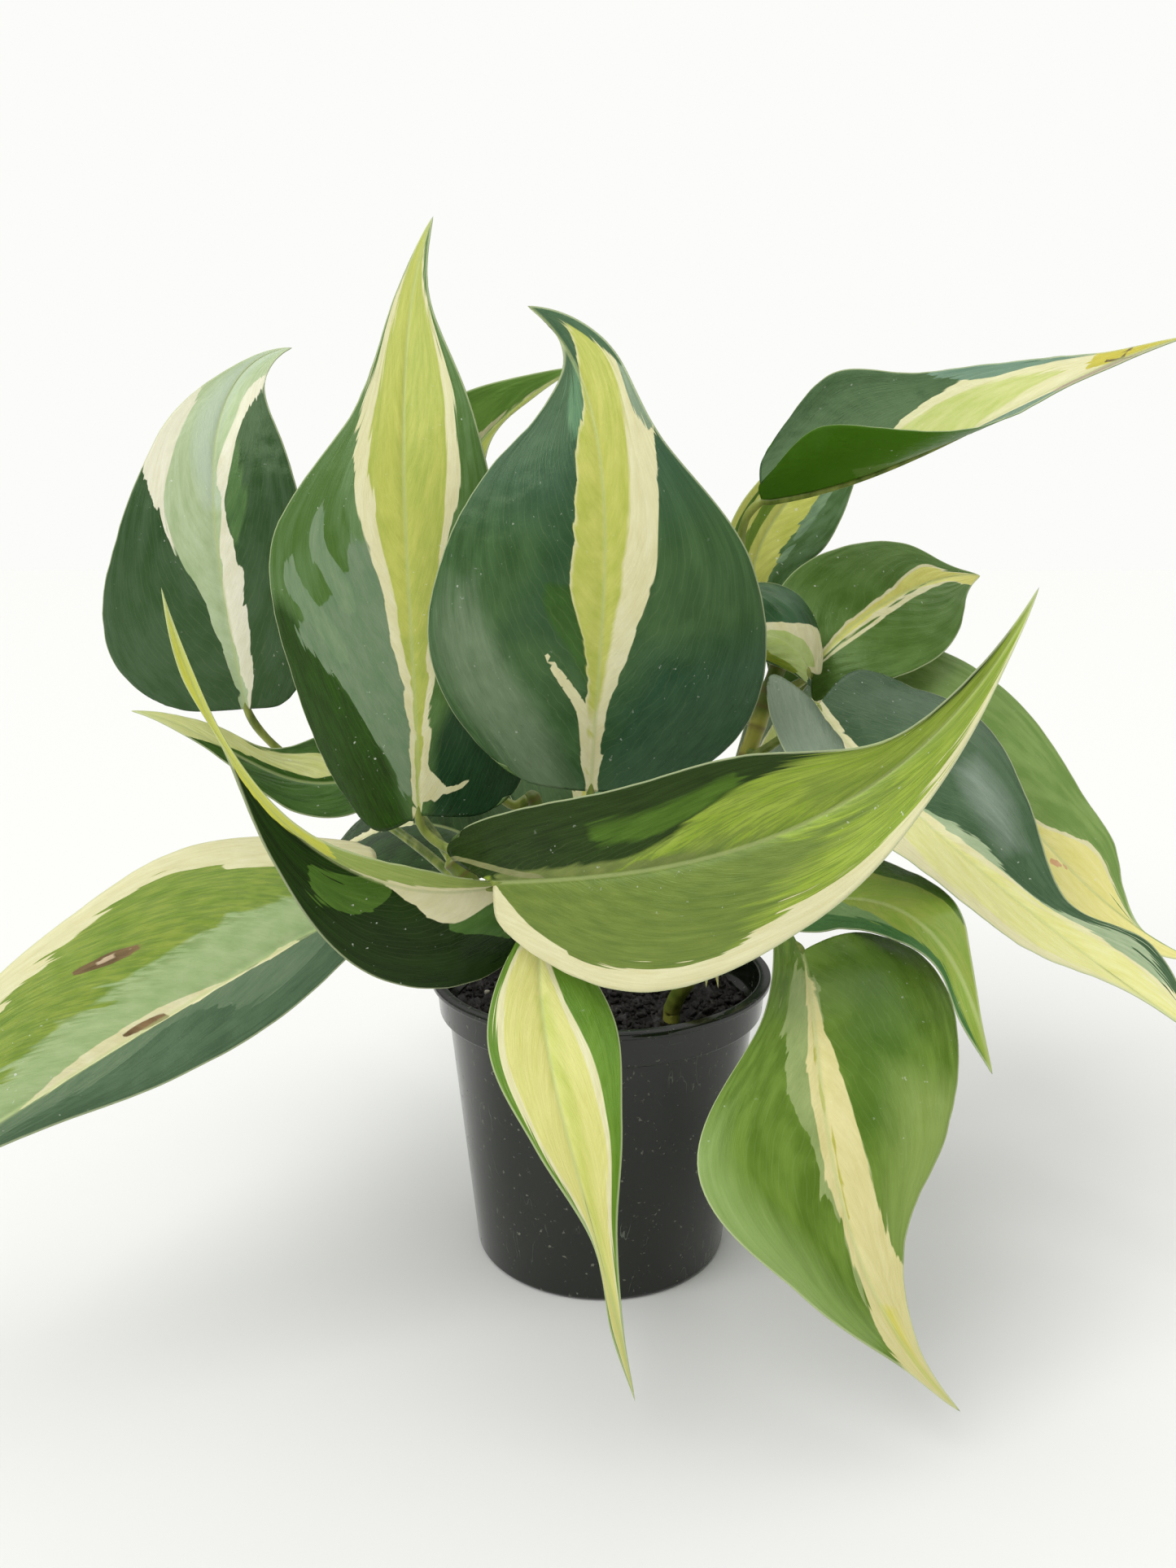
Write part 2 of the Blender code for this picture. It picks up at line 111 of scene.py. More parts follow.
def grain(tree, size, detail=2.0, stretch=(1, 1, 1)):
    """Noise with spots about size millimetres across, drawn out where stretch is under 1."""
    place = add(tree, "TexCoord", {}, "Object")
    scale = [s / (size * MM) / 2 for s in stretch]
    scaled = add(tree, "Mapping", {"Vector": place, "Scale": scale})
    return add(tree, "TexNoise", {"Vector": scaled, "Scale": 1.0, "Detail": detail})


def cover_with(tree, colour, roughness=None, height=None, strength=0.5, depth=0.2):
    """Link a finish's patterns to its shader; height is its relief, depth millimetres deep."""
    shader = tree.nodes["Principled BSDF"]
    tree.links.new(colour, shader.inputs["Base Color"])
    if roughness is not None:
        tree.links.new(roughness, shader.inputs["Roughness"])
    if height is not None:
        relief = {"Strength": strength, "Distance": depth * MM, "Height": height}
        tree.links.new(add(tree, "Bump", relief), shader.inputs["Normal"])


# Moulded polypropylene: glossy enough to mirror its surroundings softly, with a faint orange
# peel, worn patches of long thin scratches, and specks of pale dust
pot_skin, tree = finish("moulded polypropylene, dark green", IOR=1.49)
flow = grain(tree, 14, 3)
lines = add(tree, "Math", {0: grain(tree, 9, 4, (1, 1, 0.35)), 1: 0.045}, operation="PINGPONG")
scratch = add(tree, "MapRange", {0: lines, 1: 0.0022, 2: 0.0})
worn = add(tree, "MapRange", {0: grain(tree, 11, 2, (1.0, 1.0, 1.6)), 1: 0.52, 2: 0.66})
scratch = add(tree, "Math", {0: scratch, 1: worn}, operation="MULTIPLY")
dust = add(tree, "MapRange", {0: grain(tree, 0.8, 3), 1: 0.66, 2: 0.74, 4: 0.55})
colour = add(tree, "Mix", {0: flow, 6: srgb(POT_GREEN), 7: srgb(POT_BLACK)}, 2, data_type="RGBA")
for share, over in ((scratch, POT_SCUFF), (dust, POT_DUST)):
    colour = add(tree, "Mix", {0: share, 6: colour, 7: srgb(over)}, 2, data_type="RGBA")
dull = add(tree, "Math", {0: flow, 1: 0.16, 2: 0.06}, operation="MULTIPLY_ADD")
dull = add(tree, "Math", {0: scratch, 1: 0.3, 2: dull}, operation="MULTIPLY_ADD")
dull = add(tree, "Math", {0: dull, 1: dust}, operation="ADD")
peel = add(tree, "Math", {0: scratch, 1: -0.4, 2: grain(tree, 2.2)}, operation="MULTIPLY_ADD")
cover_with(tree, colour, dull, peel, strength=0.25, depth=0.1)


def solid(name, points, faces, skins, which=None):
    """Mesh object from millimetre points, shaded smooth; which gives each face its skin."""
    mesh = bpy.data.meshes.new(name)
    mesh.from_pydata((np.asarray(points) * MM).tolist(), [], [tuple(map(int, f)) for f in faces])
    for skin in skins:
        mesh.materials.append(skin)
    if which is not None:
        mesh.polygons.foreach_set("material_index", np.asarray(which, dtype=np.int32))
    mesh.shade_smooth()
    thing = bpy.data.objects.new(name, mesh)
    bpy.context.scene.collection.objects.link(thing)
    return thing


def rounded(profile, radius, steps=4):
    """Profile with each corner turned into a short curve."""
    line = [profile[0]]
    for before, here, after in zip(profile, profile[1:], profile[2:]):
        a, b, c = (np.array(p, float) for p in (before, here, after))
        inward = b + (a - b) * min(0.45, radius / np.linalg.norm(a - b))
        onward = b + (c - b) * min(0.45, radius / np.linalg.norm(c - b))
        for t in np.linspace(0, 1, steps):
            line.append(tuple((1 - t) ** 2 * inward + 2 * t * (1 - t) * b + t * t * onward))
    return line + [profile[-1]]


def turned(profile, sides):
    """Points and faces of a closed body turned about Z, from axis to axis."""
    angles = np.arange(sides) * 2 * math.pi / sides
    rings = np.array(profile[1:-1])
    points = [(0, 0, profile[0][1])]
    for r, z in rings:
        points += [(r * math.cos(a), r * math.sin(a), z) for a in angles]
    points.append((0, 0, profile[-1][1]))
    faces = []
    for k in range(sides):
        n = (k + 1) % sides
        faces.append((0, 1 + n, 1 + k))
        for i in range(len(rings) - 1):
            low, high = 1 + i * sides, 1 + (i + 1) * sides
            faces.append((low + k, low + n, high + n, high + k))
        top = 1 + (len(rings) - 1) * sides
        faces.append((top + k, top + n, len(points) - 1))
    return points, faces


def dress(thing, node):
    """Put the piece in place of its node, on the part's one body."""
    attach(thing, "root")
    if node:
        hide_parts(node)


lip_inside = POT_RIM_RADIUS - LIP_WIDTH
lip_under = POT_HEIGHT - LIP_THICKNESS
profile = [(0, GATE_DEPTH), (GATE_RADIUS, GATE_DEPTH), (GATE_RADIUS + GATE_SLOPE, 0),
           (POT_BASE_RADIUS - BASE_BEVEL, 0), (POT_BASE_RADIUS, BASE_BEVEL),
           (WALL_TOP_RADIUS, COLLAR_FOOT), (COLLAR_FOOT_RADIUS, COLLAR_FOOT + COLLAR_RISE),
           (COLLAR_TOP_RADIUS, lip_under - LIP_ROOT), (POT_RIM_RADIUS, lip_under),
           (POT_RIM_RADIUS, POT_HEIGHT), (lip_inside, POT_HEIGHT),
           (lip_inside - 0.6, POT_HEIGHT - 2.5), (lip_inside - 1.0, COLLAR_FOOT + 2.6),
           (WALL_TOP_RADIUS - POT_WALL, COLLAR_FOOT + 0.6),
           (POT_BASE_RADIUS - POT_WALL, POT_FLOOR), (0, POT_FLOOR)]
pot = solid("pot_shell", *turned(rounded(profile, CORNER_ROUND), TURN_STEPS), [pot_skin])
drills = bpy.data.collections.new("drain drills")
bpy.context.scene.collection.children.link(drills)
drill_profile = [(0, -3), (DRAIN_RADIUS, -3), (DRAIN_RADIUS, 5), (0, 5)]
for k in range(DRAIN_HOLES):
    a = 2 * math.pi * (k + 0.5) / DRAIN_HOLES
    drill = solid("drill_%d" % k, *turned(drill_profile, DRILL_STEPS), [pot_skin])
    drill.location = (DRAIN_CIRCLE * MM * math.cos(a), DRAIN_CIRCLE * MM * math.sin(a), 0)
    bpy.context.scene.collection.objects.unlink(drill)
    drills.objects.link(drill)
holes = pot.modifiers.new("drain holes", "BOOLEAN")
holes.operation, holes.operand_type, holes.collection = "DIFFERENCE", "COLLECTION", drills
holes.solver = "EXACT"
bpy.context.view_layer.update()
drilled = bpy.data.meshes.new_from_object(pot.evaluated_get(bpy.context.evaluated_depsgraph_get()))
pot.modifiers.clear()
pot.data = drilled
for drill in list(drills.objects):
    bpy.data.objects.remove(drill)
bpy.data.collections.remove(drills)
dress(pot, "pot")

# The soil is a damp mix of peat and bark that fills the pot to 10 mm under the rim: a crumbly bed
# pressed down lightly, with loose bark crumbs and a few white perlite grains lying on it.
SOIL_TOP = 75.0
SOIL_EDGE = POT_RIM_RADIUS - 6.9
SOIL_FOOT_RADIUS, SOIL_FOOT_Z = POT_BASE_RADIUS - POT_WALL - 0.6, POT_FLOOR + 0.5
SOIL_SHOULDER_RADIUS, SOIL_SHOULDER_Z = POT_RIM_RADIUS - 7.0, COLLAR_FOOT - 0.2
SOIL_RINGS, SOIL_SPOKES = 60, 160
CRUMBS, CRUMB_SIZE, CRUMB_FLATNESS = 900, (0.9, 3.0), 0.55
PERLITE, PERLITE_SIZE, PERLITE_FLATNESS = 16, (0.8, 2.2), 0.8
STEM_FEET = ((-22, -8), (-6, 12), (24, 12), (20, -16), (8, 28))


def wander(x, y, reach, seed):
    """Smooth unevenness between about -1 and 1, with bumps of about reach."""
    draw = np.random.default_rng(seed)
    total = 0.0
    for _ in range(7):
        heading, phase = draw.uniform(0, 2 * math.pi), draw.uniform(0, 2 * math.pi)
        close = draw.uniform(0.6, 1.6)
        run = (x * math.cos(heading) + y * math.sin(heading)) * close * 2 * math.pi / reach
        total = total + np.sin(run + phase)
    return total / 3


def soil_height(x, y):
    """Top of the soil: low lumps, with finer crumbs on them."""
    lump = 0.9 * np.sin(0.31 * x + 1.3) * np.cos(0.27 * y) + 0.6 * np.sin(0.83 * x - 0.71 * y)
    return SOIL_TOP + lump + 0.35 * wander(x, y, 5, 3) + 0.22 * wander(x, y, 2.2, 4)


# Damp peat: near black and quite matt, with brown fibres and darker wet hollows
soil_skin, tree = finish("damp peat mix", IOR=1.35)
fibres, lumps = grain(tree, 0.7, 4), grain(tree, 3.5, 3)
brown = add(tree, "MapRange", {0: fibres, 1: 0.4, 2: 0.7})
colour = add(tree, "Mix", {0: brown, 6: srgb("#070403"), 7: srgb("#170e08")}, 2, data_type="RGBA")
wet = add(tree, "MapRange", {0: lumps, 1: 0.45, 2: 0.75, 4: 0.7})
colour = add(tree, "Mix", {0: wet, 6: colour, 7: srgb("#030202")}, 2, data_type="RGBA")
dull = add(tree, "MapRange", {0: lumps, 1: 0.2, 2: 0.8, 4: 0.95})
cover_with(tree, colour, dull, fibres, strength=0.9, depth=0.6)

spin = np.arange(SOIL_SPOKES) * 2 * math.pi / SOIL_SPOKES
bed = [(0, 0, SOIL_FOOT_Z)]
for r, z in ((SOIL_FOOT_RADIUS, SOIL_FOOT_Z), (SOIL_SHOULDER_RADIUS, SOIL_SHOULDER_Z)):
    bed += [(r * math.cos(a), r * math.sin(a), z) for a in spin]
for r in np.linspace(SOIL_EDGE, 0.6, SOIL_RINGS):
    x, y = r * np.cos(spin), r * np.sin(spin)
    bed += list(zip(x, y, soil_height(x, y)))
bed.append((0, 0, float(soil_height(0.0, 0.0))))
around = [(k, (k + 1) % SOIL_SPOKES) for k in range(SOIL_SPOKES)]
faces = [(0, 1 + n, 1 + k) for k, n in around]
for i in range(SOIL_RINGS + 1):
    low, high = 1 + i * SOIL_SPOKES, 1 + (i + 1) * SOIL_SPOKES
    faces += [(low + k, low + n, high + n, high + k) for k, n in around]
top = 1 + (SOIL_RINGS + 1) * SOIL_SPOKES
faces += [(top + k, top + n, len(bed) - 1) for k, n in around]
dress(solid("soil_bed", bed, faces, [soil_skin]), "soil")

ball = bmesh.new()
bmesh.ops.create_icosphere(ball, subdivisions=2, radius=1)
BALL = np.array([v.co[:] for v in ball.verts])
BALL_FACES = np.array([[v.index for v in f.verts] for f in ball.faces])
ball.free()


def strewn(name, count, size, flatness, skin, seed):
    """Loose bits lying on the soil, fused into one piece, each knobbly and turned its own way."""
    draw = np.random.default_rng(seed)
    points, faces = [], []
    while len(faces) < count:
        r, a = SOIL_EDGE * math.sqrt(draw.random()) * 0.97, draw.uniform(0, 2 * math.pi)
        x, y = r * math.cos(a), r * math.sin(a)
        big = draw.uniform(*size)
        turn = np.array(Matrix.Rotation(draw.uniform(0, 6.28), 3, Vector(draw.normal(size=3))))
        knob = 1 + 0.22 * draw.normal(size=(len(BALL), 1))
        if min(math.hypot(x - foot_x, y - foot_y) for foot_x, foot_y in STEM_FEET) < 4 + big:
            continue
        shape = (BALL * knob * [1, draw.uniform(0.5, 0.9), flatness]) @ turn.T * big / 2
        shape = shape + [x, y, float(soil_height(x, y)) + big * 0.12]
        faces.append(BALL_FACES + len(points) * len(BALL))
        points.append(shape)
    return solid(name, np.concatenate(points), np.concatenate(faces), [skin])


# Composted bark: dark brown strands, dull and rough
bark_skin, tree = finish("composted bark", Roughness=0.85)
strands = grain(tree, 1.2, 4, (1, 3, 1))
brown = add(tree, "MapRange", {0: strands, 1: 0.35, 2: 0.65})
colour = add(tree, "Mix", {0: brown, 6: srgb("#060403"), 7: srgb("#170f0a")}, 2, data_type="RGBA")
cover_with(tree, colour, height=strands, strength=0.7, depth=0.3)
crumbs = strewn("soil_crumbs", CRUMBS, CRUMB_SIZE, CRUMB_FLATNESS, bark_skin, 11)
dress(crumbs, None)

# Expanded perlite: chalky off-white foam with fine pores
perlite_skin, tree = finish("expanded perlite", Roughness=0.8)
pores = grain(tree, 0.4, 3)
pale = add(tree, "MapRange", {0: pores, 1: 0.35, 2: 0.7})
colour = add(tree, "Mix", {0: pale, 6: srgb("#a39d8c"), 7: srgb("#c2bdae")}, 2, data_type="RGBA")
cover_with(tree, colour, height=pores, strength=0.8, depth=0.2)
grains = strewn("perlite", PERLITE, PERLITE_SIZE, PERLITE_FLATNESS, perlite_skin, 12)
dress(grains, None)

# The stems are five fleshy runners rooted in the soil. A ringed joint carries each leaf stalk.
# Each stem gives its foot on the soil, the rest of its curve, its radius, and where along the
# curve its joints sit, from 0 at the soil to 1 at its end.
STEMS = {
    "stem_left": ((-22, -8), ((-24, -12, 92), (-30, -22, 112), (-42, -20, 124)), 2.6,
                  (0.46, 0.54, 0.62, 0.72, 0.76, 0.9, 0.98)),
    "stem_middle": ((-6, 12), ((-6, 14, 92), (-10, 16, 112), (-22, 22, 134)), 2.4,
                    (0.5, 0.6, 0.8, 0.97)),
    "stem_right": ((24, 12), ((28, 16, 100), (44, 26, 140), (56, 30, 176)), 2.6,
                   (0.6, 0.72, 0.8, 0.86, 0.9, 0.97)),
    "stem_front": ((20, -16), ((22, -20, 88), (30, -24, 98), (40, -24, 106)), 2.4, (0.9, 0.97)),
    "stem_back": ((8, 28), ((8, 32, 88), (12, 38, 98), (20, 42, 104)), 2.4, (0.8, 0.95)),
}
STEM_ROOT = 58.0
STEM_SIDES = 24
STEM_END_TAPER = (0.97, 0.88, 0.7, 0.35)
JOINT_REACH, JOINT_SWELL = 0.018, 0.1
SCAR_REACH, SCAR_BELOW, SCAR_SHARE = 0.006, 0.012, 0.8


def unit(v):
    """Vector or rows of vectors scaled to length 1."""
    v = np.asarray(v, float)
    return v / np.linalg.norm(v, axis=-1, keepdims=True)


def bezier(points, t):
    """Points of a cubic curve at the places t."""
    a, b, c, d = (np.asarray(p, float) for p in points)
    t = np.asarray(t, float)[:, None]
    return (1 - t) ** 3 * a + 3 * (1 - t) ** 2 * t * b + 3 * (1 - t) * t * t * c + t ** 3 * d


def tube(path, radii, sides, up=(0.0, 0.0, 1.0)):
    """Closed round tube along a path, its first corner on the up side."""
    path = np.asarray(path, float)
    along = unit(np.gradient(path, axis=0))
    out = np.asarray(up, float)
    if abs(unit(out) @ along[0]) > 0.9:
        out = np.array([1.0, 0.0, 0.0])
    angles = np.arange(sides) * 2 * math.pi / sides
    points = []
    for p, t, r in zip(path, along, radii):
        out = unit(out - (out @ t) * t)
        across = np.cross(t, out)
        points.append(p + r * (np.outer(np.cos(angles), out) + np.outer(np.sin(angles), across)))
    points = np.concatenate([*points, [path[0], path[-1]]])
    faces = []
    for i in range(len(path) - 1):
        for k in range(sides):
            a, b = i * sides + k, i * sides + (k + 1) % sides
            faces.append((a, b, b + sides, a + sides))
    end = (len(path) - 1) * sides
    first, last = len(points) - 2, len(points) - 1
    for k in range(sides):
        n = (k + 1) % sides
        faces += [(n, k, first), (end + k, end + n, last)]
    return points, faces


# Fleshy stem: satin skin, green turning yellow in patches, browned by the scars at its joints
stem_skin, tree = finish("fleshy stem, satin", IOR=1.42, Roughness=0.42)
streaks = grain(tree, 1.1, 3, (1, 1, 0.2))
yellowed = add(tree, "MapRange", {0: grain(tree, 9), 1: 0.4, 2: 0.62})
darker = add(tree, "MapRange", {0: streaks, 1: 0.55, 2: 0.8, 4: 0.6})
scarred = add(tree, "Attribute", {}, "Fac", attribute_name="scar")
colour = srgb("#5f6f27")
for share, over in ((yellowed, "#a5a348"), (darker, "#3f4a14"), (scarred, "#6d5a36")):
    colour = add(tree, "Mix", {0: share, 6: colour, 7: srgb(over)}, 2, data_type="RGBA")
cover_with(tree, colour, height=streaks, strength=0.5, depth=0.2)

STEM_LINES = {}
for name, (foot, curve, radius, joints) in STEMS.items():
    bend = [(*foot, SOIL_TOP + 3), *curve]
    STEM_LINES[name] = (bezier(bend, np.linspace(0, 1, 101)), radius)
    at = np.linspace(0, 1, 111)
    rooted = [(*foot, z) for z in np.linspace(STEM_ROOT, SOIL_TOP + 2, 12)]
    station = np.concatenate([np.linspace(-0.4, -0.03, 12), at])
    swell = sum(np.exp(-((station - j) / JOINT_REACH) ** 2) for j in joints)
    radii = radius * (1 + JOINT_SWELL * np.minimum(swell, 1) + 0.02 * np.sin(station * 60))
    radii[-4:] *= np.array(STEM_END_TAPER)
    path = np.concatenate([rooted, bezier(bend, at)])
    body = solid(name + "_skin", *tube(path, radii, STEM_SIDES), [stem_skin])
    scar = sum(np.exp(-((station - j + SCAR_BELOW) / SCAR_REACH) ** 2) for j in joints)
    scar = np.repeat(np.minimum(scar, 1) * SCAR_SHARE, STEM_SIDES)
    mark = body.data.attributes.new("scar", "FLOAT", "POINT")
    mark.data.foreach_set("value", np.append(scar, [0, 0]))
    dress(body, name)

# The aerial roots are short tapered nibs that sprout from the stems' undersides, the longest pair
# under the front stem. Each gives its stem, its place along it, its heading and its length.
ROOTS = (
    ("stem_front", 0.66, (0.1, -0.8, -0.5), 7.0),
    ("stem_front", 0.6, (-0.1, -0.8, -0.55), 5.5),
    ("stem_left", 0.4, (-0.8, -0.5, -0.2), 5),
    ("stem_left", 0.66, (0.2, -0.7, -0.6), 4.5),
    ("stem_middle", 0.42, (0.7, 0.5, -0.3), 5),
    ("stem_right", 0.34, (0.8, -0.4, -0.4), 6),
    ("stem_right", 0.5, (-0.5, 0.8, -0.4), 5),
    ("stem_back", 0.5, (0.3, 0.9, -0.2), 5),
)
ROOT_RADIUS, ROOT_TIP, ROOT_SINK, ROOT_DROOP = 0.85, 0.06, 0.6, 0.35
ROOT_SIDES = 10

root_points, root_faces = [], []
for stem, station, heading, length in ROOTS:
    line, radius = STEM_LINES[stem]
    start = line[int(station * 100)] + unit(heading) * (radius - ROOT_SINK)
    t = np.linspace(0, 1, 12)[:, None]
    path = start + unit(heading) * length * t - np.array([0, 0, ROOT_DROOP * length]) * t ** 2
    points, faces = tube(path, ROOT_RADIUS * (1 - t[:, 0] ** 1.6) + ROOT_TIP, ROOT_SIDES)
    first = sum(map(len, root_points))
    root_faces += [tuple(i + first for i in f) for f in faces]
    root_points.append(points)

# Aerial root: waxy skin, pale green mottled with tan
root_skin, tree = finish("aerial root, waxy tip", Roughness=0.5)
mottle = grain(tree, 2, 3)
cover_with(tree, add(tree, "Mix", {0: mottle, 6: srgb("#c9cf86"), 7: srgb("#8f7b4a")}, 2,
                     data_type="RGBA"))
roots = solid("aerial_roots", np.concatenate(root_points), root_faces, [root_skin])
dress(roots, None)

# The leaves are waxy heart-shaped blades about half a millimetre thick, each grown as one with
# its stalk, which sits on a joint of its stem. Their pale stripes follow the arching side veins,
# so a stripe's edges tear into long teeth towards the tip.
BLADE_THICKNESS, BLADE_RIM_THINNING = 0.62, 0.45
BLADE_ROWS, BLADE_COLUMNS = 84, 25
ROW_CROWDING = 1.15        # above 1 brings the rows closer together at the lobes
SWEEP = 0.06               # how far the cross rows lean to the tip, as a share of the length
CORNER = 0.035             # rounds the lobes' outer corners
SPINE_STEPS = 60
VEIN_ARCH, VEIN_PITCH = 3.2, 5.5
QUILT_DEPTH = 0.09
MIDRIB_DEPTH, MIDRIB_WIDTH = 0.32, 0.9
RIM_STANDOFF = 0.12
RIM_REACH = 30.0           # distances to the rim are kept up to this
LEAST_HALF = 6.0           # stripe edges are measured as if a half were at least this wide
PAST = 1.4                 # a stripe edge that lies past the leaf's rim
RIB_REACH = 0.72           # how far the midrib's underside ridge runs, as a share of the length
RIB_THIN, RIB_THICK = 0.3, 1.05
PETIOLE_TOP_RADIUS, PETIOLE_RADIUS = 1.15, 1.5
SHEATH_RADII = (1.62, 1.8, 2.0)
PETIOLE_CLEARANCE, PETIOLE_FOOT, SHEATH_SINK = 0.36, 2.0, 0.8
STALK_STEPS, STALK_SIDES = 30, 16
LEAVES = []                # grown so far; a leaf's number seeds its ripples and streaks


def smooth(values, at):
    """Smooth curve through evenly spaced values, read at 0 to 1."""
    v = np.asarray(values, float)
    last = len(v) - 1
    slope = np.gradient(v)
    x = np.clip(np.asarray(at, float), 0, 1) * last
    i = np.minimum(x.astype(int), last - 1)
    f = x - i
    return (v[i] * (2 * f ** 3 - 3 * f ** 2 + 1) + slope[i] * (f ** 3 - 2 * f ** 2 + f)
            + v[i + 1] * (-2 * f ** 3 + 3 * f ** 2) + slope[i + 1] * (f ** 3 - f ** 2))


def spine(plan):
    """Length, points, directions and upper-side directions along a leaf's midrib."""
    fine = bezier(plan["midrib"], np.linspace(0, 1, 161))
    run = np.concatenate([[0], np.cumsum(np.linalg.norm(np.diff(fine, axis=0), axis=1))])
    even = np.linspace(0, run[-1], SPINE_STEPS + 1)
    points = np.stack([np.interp(even, run, fine[:, k]) for k in range(3)], 1)
    along = unit(np.gradient(points, axis=0))
    up = np.asarray(plan["face"], float)
    ups = []
    for t in along:
        up = unit(up - (up @ t) * t)
        ups.append(up)
    ups = np.array(ups)
    a = np.radians(plan["turn"]) * np.linspace(0, 1, SPINE_STEPS + 1)[:, None]
    return run[-1], points, along, ups * np.cos(a) + np.cross(along, ups) * np.sin(a)


def read(series, at):
    """Values between the spine's steps."""
    steps = np.arange(SPINE_STEPS + 1)
    return np.stack([np.interp(at, steps, series[:, k]) for k in range(3)], 1)


def half_width(half, q):
    """Half width in millimetres from the lobes to the tip, drawn in over the round lobes."""
    width = smooth([*half["widths"], 0], q)
    return width * (0.75 + 0.25 * np.sqrt(1 - (1 - np.minimum(q / 0.15, 1)) ** 2))


def blade_grid(plan, rows, columns):
    """Middle surface of a blade, its half widths, its length, and each row's place q from 0 at
    the lobes to 1 at the tip."""
    length, points, along, ups = spine(plan)
    across = np.cross(along, ups)
    q = np.linspace(0, 1, rows) ** ROW_CROWDING
    grid = np.zeros((rows, 2 * columns - 1, 3))
    widths = np.zeros((rows, 2 * columns - 1))
    for sign, half in ((-1, plan["left"]), (1, plan["right"])):
        full = max(half["widths"])
        width = half_width(half, q)
        bend = math.radians(half["curl"] or 0.1)
        for j, u in enumerate(np.linspace(0, 1, columns)):
            lean = SWEEP * 4 * q * (1 - q) * u ** 1.5
            lobe = half["lobe"] * (1 - q) ** 5 * math.sin(2 * u)
            station = q + lean - lobe + CORNER * u ** 6 * (1 - q) ** 14
            on = np.clip(station, 0, 1)
            fold = np.radians(smooth(half["folds"], on))
            turn = bend * width * u / full
            out = full / bend * (np.sin(fold + turn) - np.sin(fold))
            rise = -full / bend * (np.cos(fold + turn) - np.cos(fold))
            p, t, n, b = (read(s, on * SPINE_STEPS) for s in (points, along, ups, across))
            behind = np.minimum(station, 0) * length
            column = columns - 1 + sign * j
            grid[:, column] = p + behind[:, None] * t + sign * out[:, None] * b + rise[:, None] * n
            widths[:, column] = width
    return grid, widths, length, q


